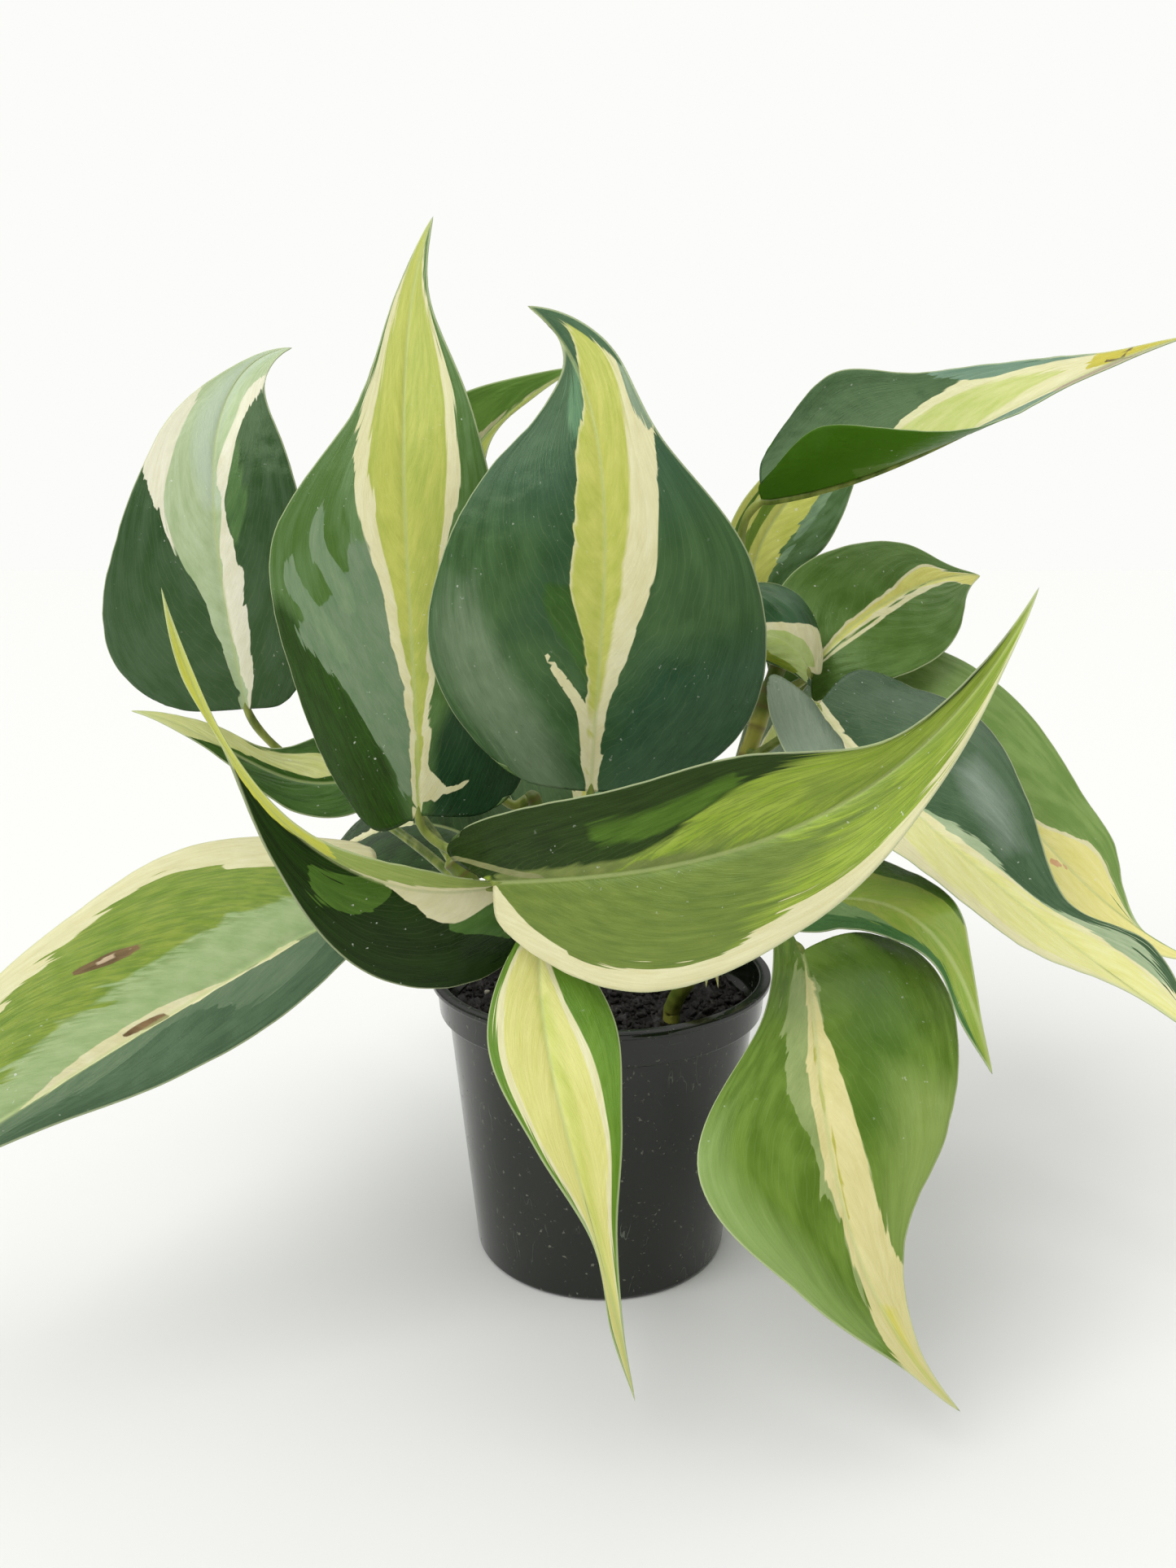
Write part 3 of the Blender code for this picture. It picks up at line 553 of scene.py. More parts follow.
def blade(plan, seed):
    """Blade with rounded rim, sunken midrib and quilted veins, and its paint coordinates."""
    rows, columns = BLADE_ROWS, 2 * BLADE_COLUMNS - 1
    grid, widths, length, q = blade_grid(plan, rows, BLADE_COLUMNS)
    c = np.linspace(-1, 1, columns)[None, :] * np.ones((rows, 1))
    q = q[:, None] * np.ones((1, columns))
    u = np.abs(c)
    normal = np.cross(np.gradient(grid, axis=1), np.gradient(grid, axis=0))
    normal = normal / np.maximum(np.linalg.norm(normal, axis=-1, keepdims=True), 1e-9)
    vein = length * (q + np.log(1 - 0.92 * u) / VEIN_ARCH)
    along, out = q * length, c * widths
    between = np.sin(math.pi * np.minimum(u, 0.95)) ** 0.5
    quilt = QUILT_DEPTH * np.cos(2 * math.pi * vein / VEIN_PITCH) * between
    ripple = (0.45 * wander(along, out, 34, seed * 10) * u ** 1.5
              + 0.12 * wander(along, out, 9, seed * 10 + 1))
    fade = np.minimum(widths / 8, 1) * np.minimum(q * 12 + 0.3, 1)
    grid = grid + normal * ((quilt + ripple * u) * fade)[..., None]
    thick = BLADE_THICKNESS / 2 * (1 - BLADE_RIM_THINNING * u ** 2)
    channel = MIDRIB_DEPTH * np.exp(-(out / MIDRIB_WIDTH) ** 2) * np.minimum(widths / 10, 1)
    upper = grid + normal * (thick - channel)[..., None]
    lower = grid - normal * thick[..., None]

    # All rows but the last make the body, the last one being the tip; the loop runs round its rim
    body = rows - 1
    inner = body * columns
    loop = [(i, 0) for i in range(body)]
    loop += [(body - 1, j) for j in range(1, columns - 1)]
    loop += [(i, columns - 1) for i in range(body - 1, -1, -1)]
    loop += [(0, j) for j in range(columns - 2, 0, -1)]
    flat = np.array([i * columns + j for i, j in loop])
    edge = grid.reshape(-1, 3)[flat]
    middle = grid.reshape(-1, 3)[np.array([i * columns + columns // 2 for i, _ in loop])]
    rim = edge + unit(edge - middle + 1e-6) * RIM_STANDOFF
    at_tip = [i == body - 1 and j % (columns - 1) != 0 for i, j in loop]
    points = np.concatenate([upper[:body].reshape(-1, 3), lower[:body].reshape(-1, 3), rim,
                             [grid[-1, columns // 2]]])
    tip = len(points) - 1
    faces = []
    for i in range(body - 1):
        for j in range(columns - 1):
            a = i * columns + j
            quad = (a, a + 1, a + 1 + columns, a + columns)
            faces += [quad, tuple(x + inner for x in reversed(quad))]
    count = len(loop)
    for k in range(count):
        n = (k + 1) % count
        if at_tip[k] or at_tip[n]:
            continue
        faces += [(flat[k], 2 * inner + k, 2 * inner + n, flat[n])[::-1],
                  (flat[k] + inner, flat[n] + inner, 2 * inner + n, 2 * inner + k)[::-1]]
    last = (body - 1) * columns
    for j in range(columns - 1):
        faces += [(last + j, last + j + 1, tip), (last + j + 1 + inner, last + j + inner, tip)]
    for k in (body - 1, body + columns - 2):
        top, low, mid = flat[k], flat[k] + inner, 2 * inner + k
        left_end = [(top, tip, mid), (mid, tip, low)]
        right_end = [(tip, top, mid), (tip, mid, low)]
        faces += left_end if k == body - 1 else right_end

    # Paint coordinates in millimetres: the place along and across the veins, the distance in from
    # the rim, and how far each point lies inside each stripe
    sheets = {"place": np.stack([vein, along, out], -1),
              "rim": np.minimum((1 - u) * widths, RIM_REACH)}
    wide = np.maximum(widths, LEAST_HALF)
    for k, stripe in enumerate(plan["bands"]):
        on = (q - stripe["start"]) / (stripe["end"] - stripe["start"])
        inside = np.minimum((c - smooth(stripe["left"], on)) * wide,
                            (smooth(stripe["right"], on) - c) * wide)
        if stripe["start"] > 0:
            inside = np.minimum(inside, (q - stripe["start"]) * length)
        if stripe["end"] < 1:
            inside = np.minimum(inside, (stripe["end"] - q) * length)
        sheets["band_%d" % k] = inside
    values = {}
    for key, sheet in sheets.items():
        plane = sheet[:body].reshape(inner, -1)
        values[key] = np.concatenate([plane, plane, plane[flat], [sheet[-1, columns // 2].ravel()]])
    halfway = np.full(count + 1, 0.5)
    values["under"] = np.concatenate([np.zeros(inner), np.ones(inner), halfway])[:, None]
    return points, faces, values


def petiole(plan):
    """Leaf stalk from its stem to the blade, running on under the blade as the midrib."""
    length, points, along, ups = spine(plan)
    line, radius = STEM_LINES[plan["stem"]]
    at = int(round(plan["station"] * 100))
    seat = line[at]
    stem_way = unit(line[min(at + 2, 100)] - line[at - 2])
    out = points[0] - seat
    out = unit(out - (out @ stem_way) * stem_way)
    foot = seat + out * (radius + PETIOLE_CLEARANCE)
    ankle = foot + out * PETIOLE_FOOT
    from_blade, from_stem = plan["reach"]
    way = plan["way"] or (points[0] - along[0] * from_blade, foot + out * from_stem)
    stalk = bezier([points[0] - ups[0] * 0.6, *way, ankle], np.linspace(0, 1, STALK_STEPS))
    on = np.linspace(RIB_REACH, 0.02, STALK_STEPS) * SPINE_STEPS
    thin = np.linspace(RIB_THIN, RIB_THICK, STALK_STEPS)
    rib = read(points, on) - read(ups, on) * (thin + 0.1)[:, None]
    sheath = np.linspace(0, 1, len(SHEATH_RADII) + 1)[1:, None]
    base = ankle + (seat + out * (radius - SHEATH_SINK) - ankle) * sheath
    stalk_radii = np.linspace(PETIOLE_TOP_RADIUS, PETIOLE_RADIUS, STALK_STEPS)
    stalk_radii[:6] *= 1 + 0.12 * np.sin(np.linspace(0, math.pi, 6))
    radii = np.concatenate([thin, stalk_radii, SHEATH_RADII])
    return tube(np.concatenate([rib, stalk, base]), radii, STALK_SIDES, up=-ups[0])


# Leaf stalk: smooth green skin with long pale streaks and a satin shine
stalk_skin, tree = finish("leaf stalk, satin", IOR=1.42, Roughness=0.38)
streaks = grain(tree, 1.4, 3, (1, 1, 0.25))
streaked = add(tree, "MapRange", {0: streaks, 1: 0.35, 2: 0.7})
yellowed = add(tree, "MapRange", {0: grain(tree, 10), 1: 0.5, 2: 0.75, 4: 0.6})
colour = srgb("#566b1f")
for share, over in ((streaked, "#8f9a48"), (yellowed, "#b3b25c")):
    colour = add(tree, "Mix", {0: share, 6: colour, 7: srgb(over)}, 2, data_type="RGBA")
cover_with(tree, colour, height=streaks, strength=0.4, depth=0.1)


def leaf_skin(name, ground, bands, back, back_share, seed):
    """Waxy leaf: mottled green ground, torn stripes of paler tissue, on some leaves patches of
    painted sheen, fine veins, a pale rim line and specks of dust, under a satin wax film that
    shines in streaks along the veins."""
    skin, tree = finish("waxy leaf, " + name, IOR=1.4, Specular_IOR_Level=0.4,
                        Specular_Tint=(0.72, 1.0, 0.5, 1), Coat_Weight=0.04, Coat_Roughness=0.18)
    place = add(tree, "Attribute", {}, "Vector", attribute_name="place")
    vein, along, out = add(tree, "SeparateXYZ", {0: place}).node.outputs
    from_midrib = add(tree, "Math", {0: out}, operation="ABSOLUTE")
    run = add(tree, "Math", {0: from_midrib, 1: along}, operation="ADD")
    half = add(tree, "Math", {0: out}, operation="SIGN")

    def streaky(across_mm, along_mm, detail, shift):
        """Noise in streaks that follow the side veins, different on the two halves."""
        a = add(tree, "Math", {0: vein, 1: across_mm}, operation="DIVIDE")
        b = add(tree, "Math", {0: run, 1: along_mm}, operation="DIVIDE")
        c = add(tree, "Math", {0: half, 1: 2.0, 2: seed + shift}, operation="MULTIPLY_ADD")
        there = add(tree, "CombineXYZ", {0: a, 1: b, 2: c})
        return add(tree, "TexNoise", {"Vector": there, "Scale": 1.0, "Detail": detail})

    streaks = streaky(5.0, 9.0, 4.0, 0.3)
    broad = streaky(11.0, 12.0, 2.0, 7.1)
    fine = streaky(0.8, 5.0, 3.0, 5.9)

    # Stripe edges run clean for a while and then tear into a long tooth
    torn = add(tree, "Math", {0: streaky(6.5, 24.0, 2.6, 3.7), 1: 0.5}, operation="SUBTRACT")
    tooth = add(tree, "Math", {0: torn}, operation="ABSOLUTE")
    tooth = add(tree, "Math", {0: tooth, 1: 7.0, 2: 0.2}, operation="MULTIPLY_ADD")
    torn = add(tree, "Math", {0: torn, 1: tooth}, operation="MULTIPLY")
    mottle = add(tree, "MapRange", {0: broad, 1: 0.35, 2: 0.65})
    brindle = add(tree, "MapRange", {0: streaks, 1: 0.3, 2: 0.7})
    dark, light = map(srgb, ground)
    colour = add(tree, "Mix", {0: mottle, 6: dark, 7: light}, 2, data_type="RGBA")
    for k, stripe in enumerate(bands):
        inside = add(tree, "Attribute", {}, "Fac", attribute_name="band_%d" % k)
        edge = add(tree, "Math", {0: torn, 1: stripe["teeth"], 2: inside}, operation="MULTIPLY_ADD")
        cover = add(tree, "MapRange", {0: edge, 1: -stripe["soft"], 2: stripe["soft"],
                                       4: stripe["cover"]})
        if stripe["fleck"]:
            flecks = streaky(stripe["fleck"], stripe["fleck"] * 5, 4.0, 8.3 + k)
            flecks = add(tree, "MapRange", {0: flecks, 1: 0.47, 2: 0.57})
            cover = add(tree, "Math", {0: cover, 1: flecks}, operation="MULTIPLY")
        dark, light = map(srgb, stripe["colours"])
        fill = add(tree, "Mix", {0: brindle, 6: dark, 7: light}, 2, data_type="RGBA")
        colour = add(tree, "Mix", {0: cover, 6: colour, 7: fill}, 2, data_type="RGBA")

    # Fine streaks shade the tissue; pale lines mark the side veins, the midrib and the rim
    shade = add(tree, "Math", {0: fine, 1: 0.16, 2: 0.92}, operation="MULTIPLY_ADD")
    shade = add(tree, "CombineColor", {0: shade, 1: shade, 2: shade})
    colour = add(tree, "Mix", {0: 1.0, 6: colour, 7: shade}, 2, data_type="RGBA",
                 blend_type="MULTIPLY")
    loose = add(tree, "Math", {0: broad, 1: 9.0, 2: vein}, operation="MULTIPLY_ADD")
    wave = add(tree, "Math", {0: loose, 1: VEIN_PITCH / 3}, operation="PINGPONG")
    line = add(tree, "MapRange", {0: wave, 1: 0.3, 2: 0.0, 4: 0.045})
    midrib = add(tree, "MapRange", {0: from_midrib, 1: 0.75, 2: 0.25, 4: 0.45})
    from_rim = add(tree, "Attribute", {}, "Fac", attribute_name="rim")
    rim = add(tree, "MapRange", {0: from_rim, 1: 0.34, 2: 0.12, 4: 0.6})
    under = add(tree, "Attribute", {}, "Fac", attribute_name="under")
    behind = add(tree, "Math", {0: under, 1: back_share}, operation="MULTIPLY")
    dust = add(tree, "MapRange", {0: grain(tree, 0.7), 1: 0.71, 2: 0.75})
    dusty = add(tree, "MapRange", {0: grain(tree, 16), 1: 0.5, 2: 0.66})
    dust = add(tree, "Math", {0: dust, 1: dusty}, operation="MULTIPLY")
    thin_dust = add(tree, "Math", {0: dust, 1: 0.6}, operation="MULTIPLY")
    for share, over in ((line, "#c9d49a"), (midrib, "#b6c183"), (rim, "#c3cda0"), (behind, back),
                        (thin_dust, "#dfe3d8")):
        colour = add(tree, "Mix", {0: share, 6: colour, 7: srgb(over)}, 2, data_type="RGBA")

    # Wax film: duller in broad streaks, on the underside and where dust lies
    film = add(tree, "Math", {0: broad, 1: 0.24, 2: 0.16}, operation="MULTIPLY_ADD")
    film = add(tree, "Math", {0: under, 1: 0.16, 2: film}, operation="MULTIPLY_ADD")
    film = add(tree, "Math", {0: dust, 1: 0.3, 2: film}, operation="MULTIPLY_ADD")
    relief = add(tree, "Math", {0: fine, 1: 2.0, 2: grain(tree, 0.5, 1)}, operation="MULTIPLY_ADD")
    relief = add(tree, "Math", {0: line, 1: -4.0, 2: relief}, operation="MULTIPLY_ADD")
    cover_with(tree, colour, film, relief, strength=0.35, depth=0.12)
    return skin


def side(widths, folds, curl=0, lobe=0.14):
    """Half a blade: half widths in mm from base to tip, folds and curl in degrees, and how far
    its lobe reaches behind the stalk as a share of the length."""
    return dict(widths=widths, folds=folds, curl=curl, lobe=lobe)


def band(colours, left, right, start=0.0, end=1.0, teeth=5.0, soft=0.12, cover=1.0, fleck=0):
    """Stripe of paler or darker tissue between two edges, or a patch of painted sheen on some
    leaves.

    Each edge is given at even steps from start to end of the blade, as a share of its half width
    (left of the midrib is negative), or as one number where it stays the same. teeth, soft and
    fleck are in mm: how far the stripe's edge tears, how softly it fades, and the size of its
    flecks if it is broken. cover is how much of what lies under it it hides.
    """
    left, right = (edge if isinstance(edge, tuple) else (edge, edge) for edge in (left, right))
    return dict(colours=colours, left=left, right=right, start=start, end=end, teeth=teeth,
                soft=soft, cover=cover, fleck=fleck)


def leaf(name, midrib, face, turn, left, right, stem, station, reach=(10, 8), way=None,
         ground=("#3a5630", "#48643c"), bands=(), back="#6f8a4c", back_share=0.55):
    """One leaf, blade and stalk in one piece, in place of its node.

    midrib is the curve of its middle from base to tip, face the way its upper side looks, and
    turn its twist in degrees. The stalk sits at station on its stem, and goes by way, or leaves
    the blade and the stem straight for reach. ground is the blade's two greens and bands its
    stripes, laid over them in turn; back and back_share tint its underside.
    """
    plan = dict(midrib=midrib, face=face, turn=turn, left=left, right=right, stem=stem,
                station=station, reach=reach, way=way, bands=bands)
    seed = len(LEAVES) + 1
    points, faces, values = blade(plan, seed)
    stalk_points, stalk_faces = petiole(plan)
    plain_name = name.replace("leaf_", "").replace("_", " ")
    skins = [leaf_skin(plain_name, ground, bands, back, back_share, seed * 3.1), stalk_skin]
    which = [0] * len(faces) + [1] * len(stalk_faces)
    faces = faces + [tuple(i + len(points) for i in f) for f in stalk_faces]
    whole = solid(name + "_blade", np.concatenate([points, stalk_points]), faces, skins, which)
    for key, value in values.items():
        wide = value.shape[1]
        kind, field = ("FLOAT_VECTOR", "vector") if wide == 3 else ("FLOAT", "value")
        full = np.concatenate([value, np.zeros((len(stalk_points), wide))])
        paint = whole.data.attributes.new(key, kind, "POINT")
        paint.data.foreach_set(field, full.astype(np.float32).ravel())
    dress(whole, name)
    LEAVES.append(whole)


# Tissue colours used more than once, each a darker and a lighter tone
CREAM = ("#d6cf9f", "#e0dcb4")
LIME = ("#a9b651", "#c3c862")
YELLOW = ("#cfc968", "#dad77c")
FLAME = ("#6a8462", "#7c9070")
CRACK = ("#5d4a30", "#7a6444")
SCAR = ("#5f4a34", "#8a7050")

# Stands at the far left: dark blue-green, with a mossy patch, a cream stripe that is pale
# grey-green inside and spreads over the tip, and a pale blue-grey painted sheen over the outer half
leaf("leaf_far_left", ((-106, 18, 160), (-109, 8, 200), (-121, 14, 258), (-91, 34, 265)),
     (0, -1, 0.15), -4,
     left=side((34, 40, 29, 17, 4), (1, 3, 11), curl=-20, lobe=0),
     right=side((19, 27, 27, 21, 9), (8, 12, 17), curl=-10, lobe=0),
     stem="stem_left", station=0.72, way=((-104, 30, 140), (-62, 26, 126)),
     ground=("#314d2b", "#40593b"),
     bands=[band(("#46663a", "#587846"), (0.2, 0.15, 0.2, 0.3), (0.25, 0.4, 0.42, 0.4), 0.4, 0.66,
                 teeth=4, soft=0.8),
            band(("#dcd8bc", "#e8e5d0"),
                 (-0.05, -0.06, -0.11, -0.19, -0.42, -0.82, -PAST, -PAST, -PAST, -PAST, -PAST),
                 (0.1, 0.2, 0.22, 0.26, 0.2, 0.14, 0.27, 0.5, 0.98, PAST, PAST), teeth=3.5),
            band(("#a3b688", "#b9c8a2"),
                 (-0.05, -0.06, -0.11, -0.19, -0.42, -0.62, -0.68, -0.84, -PAST, -PAST, -PAST),
                 (0.06, 0.04, 0.0, 0.0, 0.03, 0.1, 0.06, 0.3, 0.6, PAST, PAST), teeth=2.5),
            # painted sheen: a pale blue-grey veil over the outer half of the blade
            band(("#c3d0c2", "#b3c5b0"), (-0.1, -0.4, -0.7, -0.8, -0.8), (0.1, 0.0, 0.1, 0.4, 0.8),
                 0.5, 1, teeth=3, soft=1.5, cover=0.6)])

# The tallest leaf: deep green at its base, silver with green flames at the left, and a cream
# stripe that is lime and yellow inside, with two cream tongues at its foot
leaf("leaf_tall",
     ((-50.9, -13.5, 134.5), (-47.9, -23.7, 186.5), (-58.1, -17.6, 253.9), (-45.8, 11, 295.7)),
     (-0.1, -1, 0.12), -6,
     left=side((25, 36, 38, 13, 5), (-5, 10, 9), curl=-20, lobe=0.045),
     right=side((31, 31, 25.5, 18, 5), (-6, 1, 9), curl=-10, lobe=0),
     stem="stem_left", station=0.98, reach=(8, 6),
     ground=("#4a6a30", "#5a7846"),
     bands=[band(("#163000", "#244804"), -PAST, (-0.1, -0.35, -0.9), 0, 0.32, teeth=3, soft=2.5),
            band(("#12301a", "#1f4026"), (0.1, 0.2, 0.85), PAST, 0, 0.3, teeth=4, soft=2.5),
            band(("#647e5e", "#76896c"), (-0.1, -0.3, -0.52, -0.82, -0.5, -0.42, -0.55, -0.7), 0,
                 0.04, 0.6, teeth=9, soft=0.3),
            band(FLAME, (-0.56, -0.7, -0.88, -0.86), (-0.46, -0.5, -0.72, -0.84), 0.25, 0.4,
                 teeth=4),
            band(FLAME, (-0.46, -0.6, -0.76, -0.74), (-0.36, -0.42, -0.62, -0.72), 0.33, 0.48,
                 teeth=4),
            band(("#5a7848", "#6a8658"), (-0.4, -0.75, -0.95), (-0.3, -0.4, -0.7), 0.44, 0.64,
                 teeth=5, soft=0.8),
            band(CREAM,
                 (-0.08, -0.06, -0.08, -0.14, -0.22, -0.5, -0.88, -0.92, -0.94, -0.97, -PAST),
                 (0.03, 0.1, 0.17, 0.24, 0.38, 0.68, 0.8, 0.87, 0.87, 0.6, 0.3), teeth=3.5),
            band(("#a3af50", "#babe60"),
                 (-0.02, -0.02, -0.02, -0.07, -0.13, -0.32, -0.62, -0.74, -0.8, -0.86, -0.9),
                 (0.02, 0.04, 0.1, 0.16, 0.3, 0.5, 0.66, 0.75, 0.78, 0.5, 0.25), teeth=2.5),
            band(("#b4b956", "#c4c664"), (-0.05, -0.15, -0.4, -0.6, -0.65, -0.6),
                 (-0.02, 0.0, -0.1, 0.0, 0.1, 0.2), 0.3, 0.95, teeth=4, soft=1.2, cover=0.8),
            band(CREAM, (0.0, 0.0, 0.02, 0.05), (0.16, 0.26, 0.14, 0.07), 0.025, 0.1, teeth=2),
            band(CREAM, (0.12, 0.25, 0.5), (0.3, 0.44, 0.48), 0.04, 0.062, teeth=0.8)])

# Broad dark leaf in the middle with a hooked tip: soft blue and deep green areas, a painted grey
# sheen on the left half near the base, a cream spur, a cream stripe that is lime inside, and a
# grey-green and a dark edge at the tip
leaf("leaf_centre",
     ((-3, -26.9, 144.1), (-1.1, -40.3, 191.9), (9.4, -34.6, 245.3), (-19.3, -13.6, 268.3)),
     (0, -1, 0.12), -15,
     left=side((30.5, 45, 42, 28.5, 3), (-4, 9, 4), curl=-20, lobe=0),
     right=side((34.5, 43, 36.5, 16, 9.5), (-3, 10, 21), curl=-25, lobe=0),
     stem="stem_middle", station=0.6, reach=(14, 10),
     ground=("#365430", "#44633c"),
     bands=[band(("#36533e", "#425f4a"), -PAST, PAST, 0.52, 1, teeth=3, soft=9, cover=0.85),
            band(("#304f38", "#3e5e44"), (0.05, 0.1, 0.3), PAST, 0, 0.28, teeth=5, soft=6),
            # painted sheen: a grey veil over the left half near the base
            band(("#697c60", "#7a8c70"), (-0.7, -0.85, -0.93, -0.9), (-0.25, -0.3, -0.55, -0.8), 0,
                 0.36, teeth=8, soft=4, cover=0.75),
            band(("#24422a", "#305034"), (-0.5, -0.4, -0.3), -0.1, 0.3, 0.6, teeth=6, soft=4,
                 cover=0.7),
            band(("#527a5c", "#628866"), (-0.3, -0.6, -0.3), (-0.2, -0.1, 0.1), 0.68, 0.84, teeth=4,
                 soft=0.8),
            band(CREAM, (-0.05, -0.09, -0.12, -0.27, -0.37), (-0.03, -0.03, -0.04, -0.2, -0.43),
                 0.02, 0.31, teeth=0.3),
            band(("#2c4c1c", "#3a5e28"), (-0.06, -0.14, -0.3, -0.36), (-0.04, -0.04, -0.06, -0.08),
                 0.2, 0.4, teeth=3, soft=0.8),
            band(CREAM, (-0.05, -0.08, -0.06, -0.1, -0.2, -0.21, -0.23, -0.26, -0.05, 0.65, 0.9),
                 (0.06, 0.05, 0.08, 0.19, 0.34, 0.52, 0.9, PAST, PAST, PAST, PAST), teeth=3),
            band(("#adb552", "#c4c468"),
                 (0.0, -0.03, -0.05, -0.1, -0.19, -0.2, -0.22, -0.24, 0.0, 0.7, 0.95),
                 (-0.04, -0.02, 0.02, 0.06, 0.12, 0.22, 0.45, 0.7, 0.85, 0.9, 1.0), teeth=4,
                 soft=0.5),
            band(("#74896e", "#8fa088"), (0.9, 0.84, 0.92), PAST, 0.62, 0.76, teeth=4),
            band(("#35543a", "#46664a"), (0.96, 0.8, 0.7, 0.7), PAST, 0.74, 1, teeth=1.5)])

# Shows between the tall and the middle leaf: bright green with a lime half edged in cream
leaf("leaf_behind_tall", ((-52, 32, 176), (-52, 26, 209), (-47, 26, 240), (-6, 36, 260)),
     (0, -1, 0.2), -1,
     left=side((19, 27, 24, 15, 6), (10, 10, 10)),
     right=side((18, 21, 12, 2, 1), (10, 11, 11)),
     stem="stem_middle", station=0.97, reach=(12, 10),
     ground=("#5c8434", "#709642"),
     bands=[band(LIME, (-0.02, 0.0, 0.0, 0.0, 0.0), (0.2, 0.6, PAST, PAST, PAST)),
            band(CREAM, (-0.06, -0.1, -0.14, -0.14, -0.1), (0.0, -0.02, -0.04, -0.05, -0.04),
                 teeth=1.5)])

# Long leaf to the upper right, its near half folded up: cream with a lime middle and teal
# edges, and a yellow tip that is drying up, grey-brown and cracked
leaf("leaf_upper_right", ((47, 22, 221), (86, 5, 225), (112, -10, 250), (148, -20, 260)),
     (-0.1, -0.75, 0.7), 8,
     left=side((21, 33, 23, 13.5, 4), (19, 10, 8), curl=20, lobe=0.01),
     right=side((10, 24, 19, 4, 1.5), (88, 32, 2), curl=50, lobe=0),
     stem="stem_right", station=0.97, way=((36, 30, 214), (46, 34, 192)),
     ground=("#34502f", "#425e3c"), back="#427004", back_share=0.93,
     bands=[band(CREAM, (0.1, -0.5, -0.82, -1.0, -PAST, -PAST, -PAST),
                 (0.3, 0.3, 0.4, 0.6, 0.8, PAST, PAST), 0.24, 1, teeth=5),
            band(("#b6c068", "#c9cc86"), (-0.25, -0.55, -0.7, -0.6), (-0.1, 0.1, -0.1, -0.5), 0.3,
                 0.72, teeth=6, soft=0.5),
            band(("#5d7c6a", "#74907c"), -PAST, (-0.95, -0.78, -0.85, -0.96), 0.42, 0.8, teeth=4),
            band(("#5f7c70", "#748f7c"), (0.35, 0.3, 0.6), PAST, 0.46, 0.68, teeth=4),
            band(("#b9ae3c", "#cbbf4e"), -PAST, (-0.3, 0.2, PAST), 0.78, 1, teeth=3),
            band(("#948670", "#b3a795"), (0.6, 0.1, -0.1, 0.3), PAST, 0.68, 0.95, teeth=3,
                 soft=0.4),
            band(CRACK, -PAST, PAST, 0.853, 0.866, teeth=3),
            band(CRACK, (-0.5, -0.1), (-0.3, 0.1), 0.82, 0.87, teeth=2)])

# Narrow upright leaf under the upper right one: lime, with green lines along it
leaf("leaf_upright_right", ((52, 53, 182), (41, 50, 203), (58, 52, 227), (87, 61, 243)),
     (-0.2, -1, 0.1), -1,
     left=side((7, 12, 13, 10, 4), (30, 28, 19)),
     right=side((5, 11, 18, 16, 9), (-1, 0, 0)),
     stem="stem_right", station=0.8, reach=(8, 6),
     ground=("#4a683a", "#628058"),
     bands=[band(("#bcc05a", "#cfcf70"), -PAST, (0.4, 0.5)),
            band(("#5d7a1c", "#6f8a2c"), (-0.5, -0.5, -0.4), (-0.3, -0.22, -0.2), teeth=2),
            band(("#4a6a1c", "#56752a"), (-0.86, -0.84, -0.8), (-0.76, -0.74, -0.72), teeth=2),
            band(("#6a8568", "#86a07c"), (0.45, 0.4, 0.2), (0.55, 0.6, 0.6), 0.3, 1, teeth=4)])

# Small young leaf curled over at the right crown: dark, with a cream and lime underside half
leaf("leaf_curled", ((61, 15, 172), (56, 9, 185), (40, 9, 185), (27, 18, 183)),
     (0, -0.6, 0.8), -5,
     left=side((2, 8, 9, 7, 3), (-9, -9, -10), curl=-90),
     right=side((11, 20, 21, 17, 10), (7, 9, 6), curl=-40),
     stem="stem_right", station=0.9, reach=(5, 4),
     ground=("#2a482b", "#3a5c3e"),
     bands=[band(CREAM, (-0.3, -0.2, 0.0, 0.0, 0.0), (PAST, 0.4, 0.14, 0.05, 0.02), teeth=1.5),
            band(("#a9bb68", "#bccb86"), (-0.8, -0.8, -0.7, -0.6), (0.3, 0.1, 0.0, 0.0), 0.03, 1,
                 teeth=1.5),
            band(("#6d8426", "#8f9b2c"), (-0.95, -0.85, -0.8), (-0.6, -0.45, -0.4), 0.1, 1,
                 teeth=2)])

# Round leaf at the right: green with a cream stripe that is yellow inside, and a green line
leaf("leaf_round_right", ((66, 34, 170), (73, 34, 184), (101, 40, 201), (123, 56, 198)),
     (-0.1, -1, 0.5), -1,
     left=side((15, 25, 23, 16, 4), (1, 1, 2), curl=-10),
     right=side((10, 21, 24, 19, 7), (12, 14, 12), curl=-10, lobe=0.12),
     stem="stem_right", station=0.86, reach=(5, 4),
     ground=("#4c6a2c", "#5c7a3c"),
     bands=[band(CREAM, (-0.05, -0.05, -0.06, -0.07, -0.11, -0.18, -0.36, -0.6, -0.5, -0.4, -0.3),
                 (0.06, 0.14, 0.18, 0.19, 0.18, 0.16, 0.15, 0.18, 0.35, PAST, PAST), teeth=2),
            band(YELLOW, (-0.02, -0.02, -0.03, -0.04, -0.07, -0.13, -0.3, -0.52, -0.42, -0.3, -0.2),
                 (0.02, 0.04, 0.05, 0.06, 0.05, 0.03, 0.03, 0.1, 0.3, PAST, PAST), teeth=1.5),
            band(("#4c6a2a", "#5a7a34"), (0.05, 0.08, 0.1, 0.08, 0.02, -0.05),
                 (0.08, 0.12, 0.14, 0.11, 0.06, -0.02), 0.06, 0.7, teeth=0.8)])
